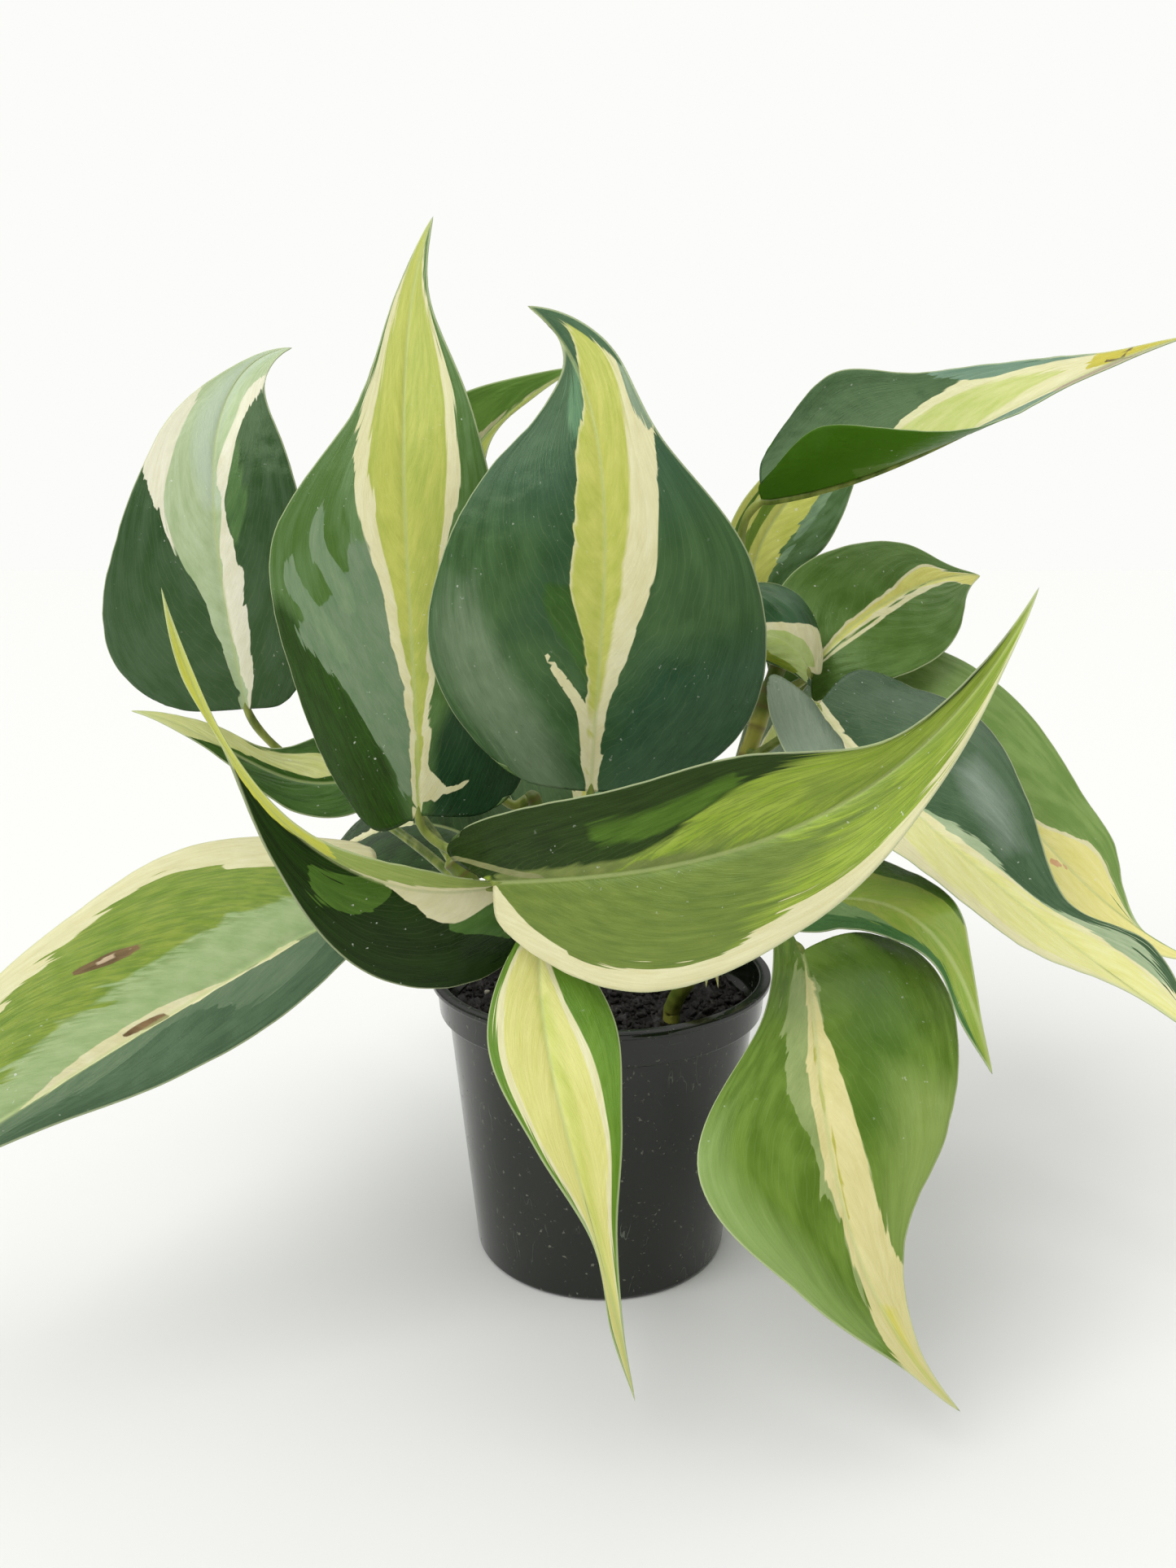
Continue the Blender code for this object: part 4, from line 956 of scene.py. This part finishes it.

# Heart-shaped leaf reaching down to the right: dark, with a painted grey sheen on its lobe and a
# painted glint, and a silver-edged cream stripe that is yellow inside
leaf("leaf_heart_right", ((62, 2, 163), (70, -10, 149), (102, -36, 118), (145, -66, 91)),
     (0.2, -0.7, 0.8), 6,
     left=side((38, 41, 26, 9, 13), (2, 19, 16), curl=-15, lobe=0.07),
     right=side((19, 26, 19, 14, 2), (18, 26, 4), curl=-15, lobe=0.1),
     stem="stem_right", station=0.72, way=((60, 8, 158), (52, 14, 150)),
     ground=("#354f36", "#435b42"),
     # painted sheen: grey over the lobe
     bands=[band(("#748570", "#82907c"), (0.1, 0.15, 0.3), PAST, 0, 0.3, teeth=3, soft=3),
            # painted highlight: a pale grey glint across the left half
            band(("#8a988a", "#aab4ac"), (-0.72, -0.78, -0.68), (-0.55, -0.5, -0.55), 0.3, 0.48,
                 teeth=3, soft=3.5, cover=0.5),
            band(CREAM, (-0.03, -0.03, -0.04), (0.05, 0.03, 0.04), 0, 0.26, teeth=0.5),
            band(("#8fa37f", "#a9b795"), (-0.05, -0.1, -0.3, -0.5, -0.85, -0.8, -0.8),
                 (0.02, 0.1, 0.3, 0.3, 0.3, 0.3, 0.3), 0.2, 1, teeth=7),
            band(CREAM, (-0.06, -0.05, -0.04, -0.06, -0.12, -0.24, -0.42, -0.52, -0.5, -0.8, -PAST),
                 (0.03, 0.04, 0.3, 0.85, PAST, PAST, PAST, PAST, PAST, PAST, PAST), teeth=4),
            band(("#d6d486", "#e0dea0"), (0.0, -0.05, -0.18, -0.36, -0.45, -0.44, -0.7),
                 (0.5, 0.85, 0.8, 0.85, 0.9, 0.95, 1.0), 0.3, 1, teeth=5, soft=0.6)])

# Large lime leaf across the front: olive and finely flecked, a deep green upper edge, pale
# streaks at its foot and a cream lower rim
leaf("leaf_front", ((-27, -55, 127), (9, -78, 135), (64, -92, 140), (100, -60, 199)),
     (0, -1, 0.35), -1,
     left=side((18, 21, 21, 7, 3), (35, 35, 35), lobe=0.07),
     right=side((17, 28, 21, 10, 3), (-1, 0, 10), curl=-20, lobe=0),
     stem="stem_left", station=0.76, way=((-30, -50, 133), (-22, -34, 134)),
     ground=("#8aa233", "#9cb044"),
     bands=[band(("#566a34", "#6f803e"), (-0.3, -0.3, -0.25, -0.2, -0.1, 0.1, 0.3),
                 (PAST, PAST, PAST, 0.9, 0.6, 0.4, 0.3), 0, 0.62, teeth=12, soft=2.5, cover=0.85),
            band(("#5d7030", "#708038"), -PAST, PAST, 0, 0.85, teeth=3, soft=4, cover=0.55,
                 fleck=1.3),
            band(("#6e8434", "#7f9240"), (-0.7, -0.3, 0.2, 0.5), (-0.35, 0.0, 0.6, 0.8), 0.5, 0.9,
                 teeth=4, soft=1.5, cover=0.6),
            band(("#142800", "#263c10"), -PAST,
                 (-0.06, -0.06, -0.12, -0.32, -0.68, -0.93, -0.97, -0.86, -0.76, -0.8), 0, 0.9,
                 teeth=3, soft=0.5),
            band(("#3d5a12", "#4f7020"), (-0.62, -0.7, -0.85), (-0.4, -0.4, -0.7), 0.2, 0.4,
                 teeth=5, soft=0.8),
            band(("#66753a", "#7d8848"), (-0.16, -0.16, -0.18, -0.1), (-0.02, -0.03, -0.02, -0.04),
                 0.02, 0.34, teeth=3, soft=0.5),
            band(("#7c8052", "#8f9062"), (-0.6, -0.36, -0.18, -0.1), (-0.5, -0.2, -0.06, -0.03),
                 0.0, 0.1, teeth=0.6),
            band(CREAM, (0.02, 0.5, 0.72), PAST, 0, 0.11, teeth=1.5),
            band(CREAM, (0.72, 0.8, 0.86, 0.79, 0.8, 0.84, 0.87, 0.84, 0.82, 0.8), PAST, 0.08, 1,
                 teeth=5)])

# Behind the heart-shaped leaf: green with a cream stripe, straw inside, and a tan bruise
leaf("leaf_right_back", ((93, 34, 163), (116, 24, 153), (131, 4, 107), (168, -18, 93)),
     (0.1, -0.7, 0.7), 1,
     left=side((19, 25, 22, 17, 1), (7, 7, 0), lobe=0.16),
     right=side((17, 25, 22, 15, 8), (8, 10, 4)),
     stem="stem_right", station=0.6, reach=(14, 10),
     ground=("#6d8a46", "#809a56"),
     bands=[band(CREAM, (-0.1, -0.1, -0.1, -0.1, -0.12, -0.2, -0.66, -0.76, -0.74, -0.5, -PAST),
                 (0.1, 0.1, 0.15, 0.3, 0.6, PAST, PAST, PAST, PAST, PAST, PAST)),
            band(("#dcd480", "#e6de98"),
                 (-0.02, -0.02, -0.05, -0.12, -0.58, -0.7, -0.66, -0.45, -PAST),
                 (0.05, 0.1, 0.2, 0.8, PAST, PAST, PAST, PAST, PAST), 0.2, 1, teeth=3),
            band(("#c99a6c", "#d9b088"), (0.2, 0.05, 0.0), (0.4, 0.2, 0.1), 0.58, 0.63, teeth=3)])

# Hangs over the rim at the right: green with lighter areas and a painted sheen along one edge, a
# grey-green and straw stripe split by a green line, and a yellow tip
leaf("leaf_hanging_right", ((51, -46, 106), (51, -84, 100), (43, -100, 52), (81, -100, 15)),
     (0, -1, 0.2), -7,
     left=side((33, 35, 28, 11, 3), (6, 3, 1), curl=-15, lobe=0.08),
     right=side((6, 12, 31, 16, 4), (7, 9, 8), curl=-20, lobe=0.16),
     stem="stem_front", station=0.97, reach=(10, 6),
     ground=("#547022", "#6a8634"),
     bands=[band(("#3f5f1e", "#4f6f28"), (-0.75, -0.7, -0.6), (-0.2, -0.25, -0.3), 0.02, 0.42,
                 teeth=4, soft=5, cover=0.7),
            band(("#84994e", "#8ea35c"), -PAST, (-0.55, -0.6, -0.75), 0.3, 0.62, teeth=3, soft=5,
                 cover=0.8),
            # painted sheen: a paler strip along the edge
            band(("#809a54", "#8ca462"), (0.85, 0.7, 0.8), PAST, 0.36, 0.75, teeth=3, soft=4),
            band(("#83955a", "#98a76c"),
                 (-0.05, -0.06, -0.1, -0.2, -0.3, -0.46, -0.8, -PAST, -PAST),
                 (0.1, 0.5, 0.42, 0.28, 0.14, 0.12, 0.14, 0.3, 0.5), 0.08, 0.8, teeth=6),
            band(("#cfc688", "#dad29a"),
                 (-0.02, -0.03, -0.06, -0.15, -0.25, -0.4, -0.72, -PAST, -PAST, -PAST, -PAST),
                 (0.02, 0.08, 0.12, 0.12, 0.08, 0.08, 0.1, 0.24, 0.85, PAST, PAST), teeth=2.5),
            band(("#a8a648", "#b9b45a"), (0.02, 0.0, -0.06, -0.06), (0.045, 0.03, -0.035, -0.03),
                 0.2, 0.58, teeth=1.2),
            band(("#c9c25c", "#d6cf6e"), (-0.5, -0.4, -0.2), (0.0, 0.2, 0.3), 0.74, 1, teeth=3,
                 soft=1.0)])

# Small hooked leaf above the hanging one: olive with darker edges
leaf("leaf_hooked", ((63, -16, 111), (80, -43, 121), (84, -71, 118), (90, -80, 88)),
     (0, -0.8, 0.7), -7,
     left=side((23, 15, 12, 5, 1), (-1, -20, -26), curl=-20),
     right=side((13, 11, 8, 4, 4), (2, 8, 8)),
     stem="stem_front", station=0.9, reach=(10, 6),
     ground=("#7f983a", "#909f46"),
     bands=[band(("#3b5a14", "#4a6a20"), -PAST, (-0.7, -0.65, -0.75, -0.95), 0, 0.5, teeth=3),
            band(("#6b8a55", "#7a9660"), (0.05, 0.3, 0.6), (0.6, 0.7, 0.7), 0, 0.4, teeth=4),
            band(("#35602f", "#46703a"), (0.35, 0.6, 0.65, 0.7, 0.8), PAST, teeth=3)])

# Narrow yellow leaf that hangs over the front of the rim: cream and straw inside green rims
leaf("leaf_hanging_front", ((-16, -51, 113), (-17, -72, 84), (-2, -100, 67), (7, -98, 16)),
     (0, -1, 0.2), -1,
     left=side((7, 17, 13, 5, 1), (9, 8, 8), curl=-10, lobe=0.05),
     right=side((5, 14, 8, 1, 2), (8, 9, 10), curl=-10, lobe=0.04),
     stem="stem_left", station=0.46, way=((-12, -40, 108), (-15, -28, 100)),
     ground=("#557a1c", "#64882a"), back="#a3ac5a",
     bands=[band(CREAM, (-0.1, -0.26, -0.42, -0.64, -0.78, -0.84, -0.84, -0.82, -0.8, -0.7, -0.6),
                 (0.4, 0.8, 0.84, 0.88, 0.9, 0.86, 0.82, 0.8, 0.8, 0.8, 0.8), teeth=1.8),
            band(("#cecb78", "#d8d488"),
                 (-0.05, -0.18, -0.32, -0.52, -0.68, -0.76, -0.74, -0.72, -0.7, -0.6, -0.5),
                 (0.3, 0.66, 0.7, 0.76, 0.8, 0.76, 0.72, 0.7, 0.7, 0.7, 0.7), teeth=1.8),
            band(("#aeb850", "#bcc262"), (-0.1, -0.3, -0.4, -0.3), (0.1, -0.05, -0.05, 0.1), 0.15,
                 0.9, teeth=3, soft=1.0, cover=0.7)])

# Dark folded leaf at the left front: green patches, a cream fold painted paler than the other
# cream to stand in for light where it lies in shade, and a bright yellow tip
leaf("leaf_front_left", ((-29, -42, 122), (-61, -74, 124), (-88, -74, 151), (-102, -60, 199)),
     (0, -1, 0.5), -5,
     left=side((26, 23, 9, 1, 2), (-24, -18, 2), curl=-20, lobe=0.1),
     right=side((3, 7, 2, 1, 1), (64, 65, 34), lobe=0.02),
     stem="stem_left", station=0.62, reach=(8, 8),
     ground=("#0d2200", "#183203"),
     bands=[band(("#45682a", "#557a38"), (-0.75, -0.5, -0.4), (0.1, -0.1, -0.2), 0, 0.13, teeth=2),
            band(("#3f5f1c", "#4f7026"), (-0.1, -0.55, -0.75, -0.45), (0.1, 0.0, -0.2, -0.4), 0.24,
                 0.4, teeth=4),
            band(("#8fa650", "#a9b864"), (0.06, 0.04, 0.02, 0.0, 0.0), PAST, teeth=1),
            # cream fold: real cream tissue, painted paler as painted light against the shade it
            # lies in
            band(("#e6dfb0", "#efe9c2"), (-0.12, -0.24, -0.32, -0.14, 0.0, 0.0),
                 (0.25, 0.27, 0.27, 0.22, 0.16, 0.1), 0, 0.34, teeth=2),
            band(("#c4c74a", "#d2d35c"), (0.3, -0.4, -PAST, -PAST, -PAST), PAST, 0.36, 1, teeth=3)])

# Broad leaf reaching down to the left: grey-green, with sage, olive and flecked areas along
# it, a cream rim and midrib line, and two dry brown scars
leaf("leaf_lower_left", ((-68, -29, 111), (-91, -52, 104), (-129, -74, 84), (-169, -95, 60)),
     (-0.1, -0.8, 0.7), -14,
     left=side((10, 17, 15, 8, 3), (20, 5, -8), curl=-15, lobe=0.08),
     right=side((25, 39, 36, 29, 15), (14, 15, 11), curl=-15),
     stem="stem_left", station=0.54, reach=(12, 10),
     ground=("#3a523c", "#465e46"),
     bands=[band(("#4e654c", "#5f7258"), (-0.1, -0.5, -0.6, -0.2, -0.3, -0.5, -0.6, -0.8, -PAST),
                 0.1, 0.04, 0.9, teeth=5),
            band(("#93ab74", "#a6b886"), 0.0, PAST, teeth=1.5),
            band(("#728c34", "#909f46"), (0.3, 0.36, 0.38, 0.36, 0.3, 0.3), PAST, 0.05, 1, teeth=8,
                 soft=0.5),
            band(("#5f7a34", "#6f8640"), 0.3, PAST, 0.06, 1, teeth=4, soft=2, cover=0.55,
                 fleck=1.6),
            band(CREAM, (0.55, 0.62, 0.84, 0.86, 0.84, 0.82, 0.8), PAST, 0.0, 0.75, teeth=5),
            band(CREAM, (-0.06, -0.05, -0.03, -0.03, -0.06), (0.02, 0.0, 0.08, 0.09, 0.0), 0.12,
                 0.7, teeth=2),
            band(SCAR, (0.5, 0.53, 0.62), (0.53, 0.62, 0.65), 0.36, 0.48, teeth=2),
            band(("#b9a284", "#dccbb0"), (0.54, 0.56, 0.61), (0.55, 0.6, 0.62), 0.38, 0.46,
                 teeth=1.5),
            band(SCAR, (-0.02, 0.0, 0.03), (0.03, 0.06, 0.06), 0.4, 0.49, teeth=1)])

# Small leaf pointing left behind the tall one: dark with a pale stripe that takes up its tip
leaf("leaf_small_left", ((-72, 22, 139), (-98, 14, 130), (-109, 4, 157), (-136, 6, 161)),
     (0, -0.8, 0.7), 2,
     left=side((11, 13, 8, 4, 2), (5, 7, 7)),
     right=side((18, 16, 7, 6, 3), (10, 6, 4)),
     stem="stem_left", station=0.9,
     ground=("#2c4c14", "#3c5e20"),
     bands=[band(("#c4c878", "#d3d598"), (0.1, 0.14, 0.1, 0.3, 0.28, 0.0, -PAST, -PAST, -PAST),
                 (0.3, 0.5, 0.7, 0.85, 0.95, PAST, PAST, PAST, PAST), teeth=2)])

# Behind the middle leaf, out of the camera's sight: cream stripe with a lime middle
leaf("leaf_behind_centre", ((5, 38, 170), (12, 36, 200), (13, 40, 228), (13, 46, 243)),
     (0.1, -1, 0.2), 0,
     left=side((14, 22, 20, 12, 5), (8, 8, 12), curl=-15),
     right=side((14, 22, 22, 19, 11), (8, 8, 8), curl=-15),
     stem="stem_middle", station=0.5, reach=(14, 10),
     bands=[band(CREAM, (-0.05, -0.15, -0.3, -0.4, -0.5, -0.6), (0.05, 0.1, 0.25, 0.3, 0.5, 0.6)),
            band(LIME, (-0.02, -0.08, -0.2, -0.3, -0.4, -0.5), (0.02, 0.05, 0.15, 0.22, 0.4, 0.5))])

# Arches back at the left: deep green with a thin cream stripe
leaf("leaf_back_left", ((-42, 52, 111), (-58, 66, 117), (-82, 88, 111), (-112, 118, 80)),
     (-0.3, -0.6, 0.75), 0,
     left=side((17, 27, 26, 17, 7), (8, 8, 12), curl=-15),
     right=side((17, 27, 26, 17, 7), (8, 8, 12), curl=-15),
     stem="stem_middle", station=0.8, reach=(14, 10),
     ground=("#1b3312", "#28451c"),
     bands=[band(CREAM, (-0.04, -0.06, -0.1, -0.2, -0.4, -0.6), (0.04, 0.06, 0.1, 0.2, 0.4, 0.6),
                 0.3, 1)])

# Arches straight back: silver-green patch and a cream stripe that is yellow inside
leaf("leaf_back", ((-4, 54, 112), (-4, 78, 142), (10, 110, 162), (24, 142, 138)),
     (0, 0.4, 1), 0,
     left=side((23, 28, 26, 17, 7), (8, 8, 12), curl=-15),
     right=side((23, 28, 26, 17, 7), (8, 8, 12), curl=-15),
     stem="stem_back", station=0.8, reach=(12, 8),
     bands=[band(("#5c8563", "#7a9a72"), (-0.05, -0.1, -0.2, -0.3), (0.3, 0.6, 0.5, 0.9), 0.1, 0.9,
                 teeth=7),
            band(CREAM, (-0.05, -0.2, -0.35, -0.4, -0.5, -0.6), (0.04, 0.05, 0.1, 0.2, 0.3, 0.6)),
            band(YELLOW, (-0.02, -0.12, -0.26, -0.3, -0.4, -0.5),
                 (0.02, 0.02, 0.02, 0.1, 0.2, 0.5))])

# Arches back at the right: cream stripe that is lime inside
leaf("leaf_back_right", ((46, 54, 114), (58, 78, 166), (88, 100, 166), (114, 118, 104)),
     (0.4, 0.4, 1), 0,
     left=side((16, 24, 22, 15, 6), (8, 8, 12), curl=-15),
     right=side((16, 24, 22, 15, 6), (8, 8, 12), curl=-15),
     stem="stem_back", station=0.95, reach=(12, 8),
     bands=[band(CREAM, (-0.06, -0.1, -0.12, -0.2, -0.4, -0.6), (0.06, 0.2, 0.4, 0.45, 0.6, PAST)),
            band(LIME, (-0.03, -0.05, -0.05, -0.1, -0.3, -0.5),
                 (0.03, 0.12, 0.3, 0.35, 0.5, PAST))])

# The studio is a plain pale floor under an even white backdrop, lit softly as by a window at the
# upper left and a bright ceiling. The camera looks at the plant from the photo's viewing angle.
CAMERA_AT = (-3.8, -344, 210)
CAMERA_DIP = 11.4
CAMERA_LENS, CAMERA_SENSOR, CAMERA_NEAR = 28.0, 36.0, 0.02
FLOOR_HALF = 8000.0
ROOM_LOW, ROOM_RISE = 0.1, 0.6
WINDOW_WAY, WINDOW_SPREAD, WINDOW_STRENGTH = (0.55, 0.55, -0.75), 45, 1.9
CEILING_WAY, CEILING_SPREAD, CEILING_STRENGTH = (-0.1, -0.25, -1), 70, 1.1

# Matt paper: even and pale, with no shine
floor_skin, tree = finish("matt white paper", Base_Color=srgb("#e4e4e2"), Roughness=0.9)
corners = [(x * FLOOR_HALF, y * FLOOR_HALF, 0) for x, y in ((-1, -1), (1, -1), (1, 1), (-1, 1))]
floor = solid("floor", corners, [(0, 1, 2, 3)], [floor_skin])

# The room is dim behind the lamps and brightens overhead; the backdrop itself shows white
world = bpy.data.worlds.new("studio")
world.use_nodes = True
tree = world.node_tree
sky = add(tree, "SeparateXYZ", {0: add(tree, "TexCoord", {}, "Generated")}, "Z")
glow = add(tree, "MapRange", {0: sky, 1: -0.3, 2: 1.0, 4: ROOM_RISE})
glow = add(tree, "Math", {0: glow, 1: ROOM_LOW}, operation="ADD")
seen = add(tree, "LightPath", {}, "Is Camera Ray")
glow = add(tree, "Mix", {0: seen, 2: glow, 3: 1.0}, data_type="FLOAT")
backdrop = tree.nodes["Background"]
backdrop.inputs["Color"].default_value = srgb("#fcfcfa")
tree.links.new(glow, backdrop.inputs["Strength"])
bpy.context.scene.world = world


def soft_sun(name, toward, spread, strength):
    """Light that comes evenly from one side of the sky; spread is its width in degrees."""
    lamp = bpy.data.lights.new(name, "SUN")
    lamp.angle, lamp.energy = math.radians(spread), strength
    sun = bpy.data.objects.new(name, lamp)
    sun.rotation_euler = Vector(toward).to_track_quat("-Z", "Y").to_euler()
    bpy.context.scene.collection.objects.link(sun)


soft_sun("window", WINDOW_WAY, WINDOW_SPREAD, WINDOW_STRENGTH)
soft_sun("ceiling", CEILING_WAY, CEILING_SPREAD, CEILING_STRENGTH)

eye = bpy.data.cameras.new("camera")
eye.lens, eye.sensor_width, eye.clip_start = CAMERA_LENS, CAMERA_SENSOR, CAMERA_NEAR
camera = bpy.data.objects.new("camera", eye)
camera.location = [c * MM for c in CAMERA_AT]
camera.rotation_euler = (math.radians(90 - CAMERA_DIP), 0, 0)
bpy.context.scene.collection.objects.link(camera)
bpy.context.scene.camera = camera
bpy.context.scene.view_settings.view_transform = "Standard"
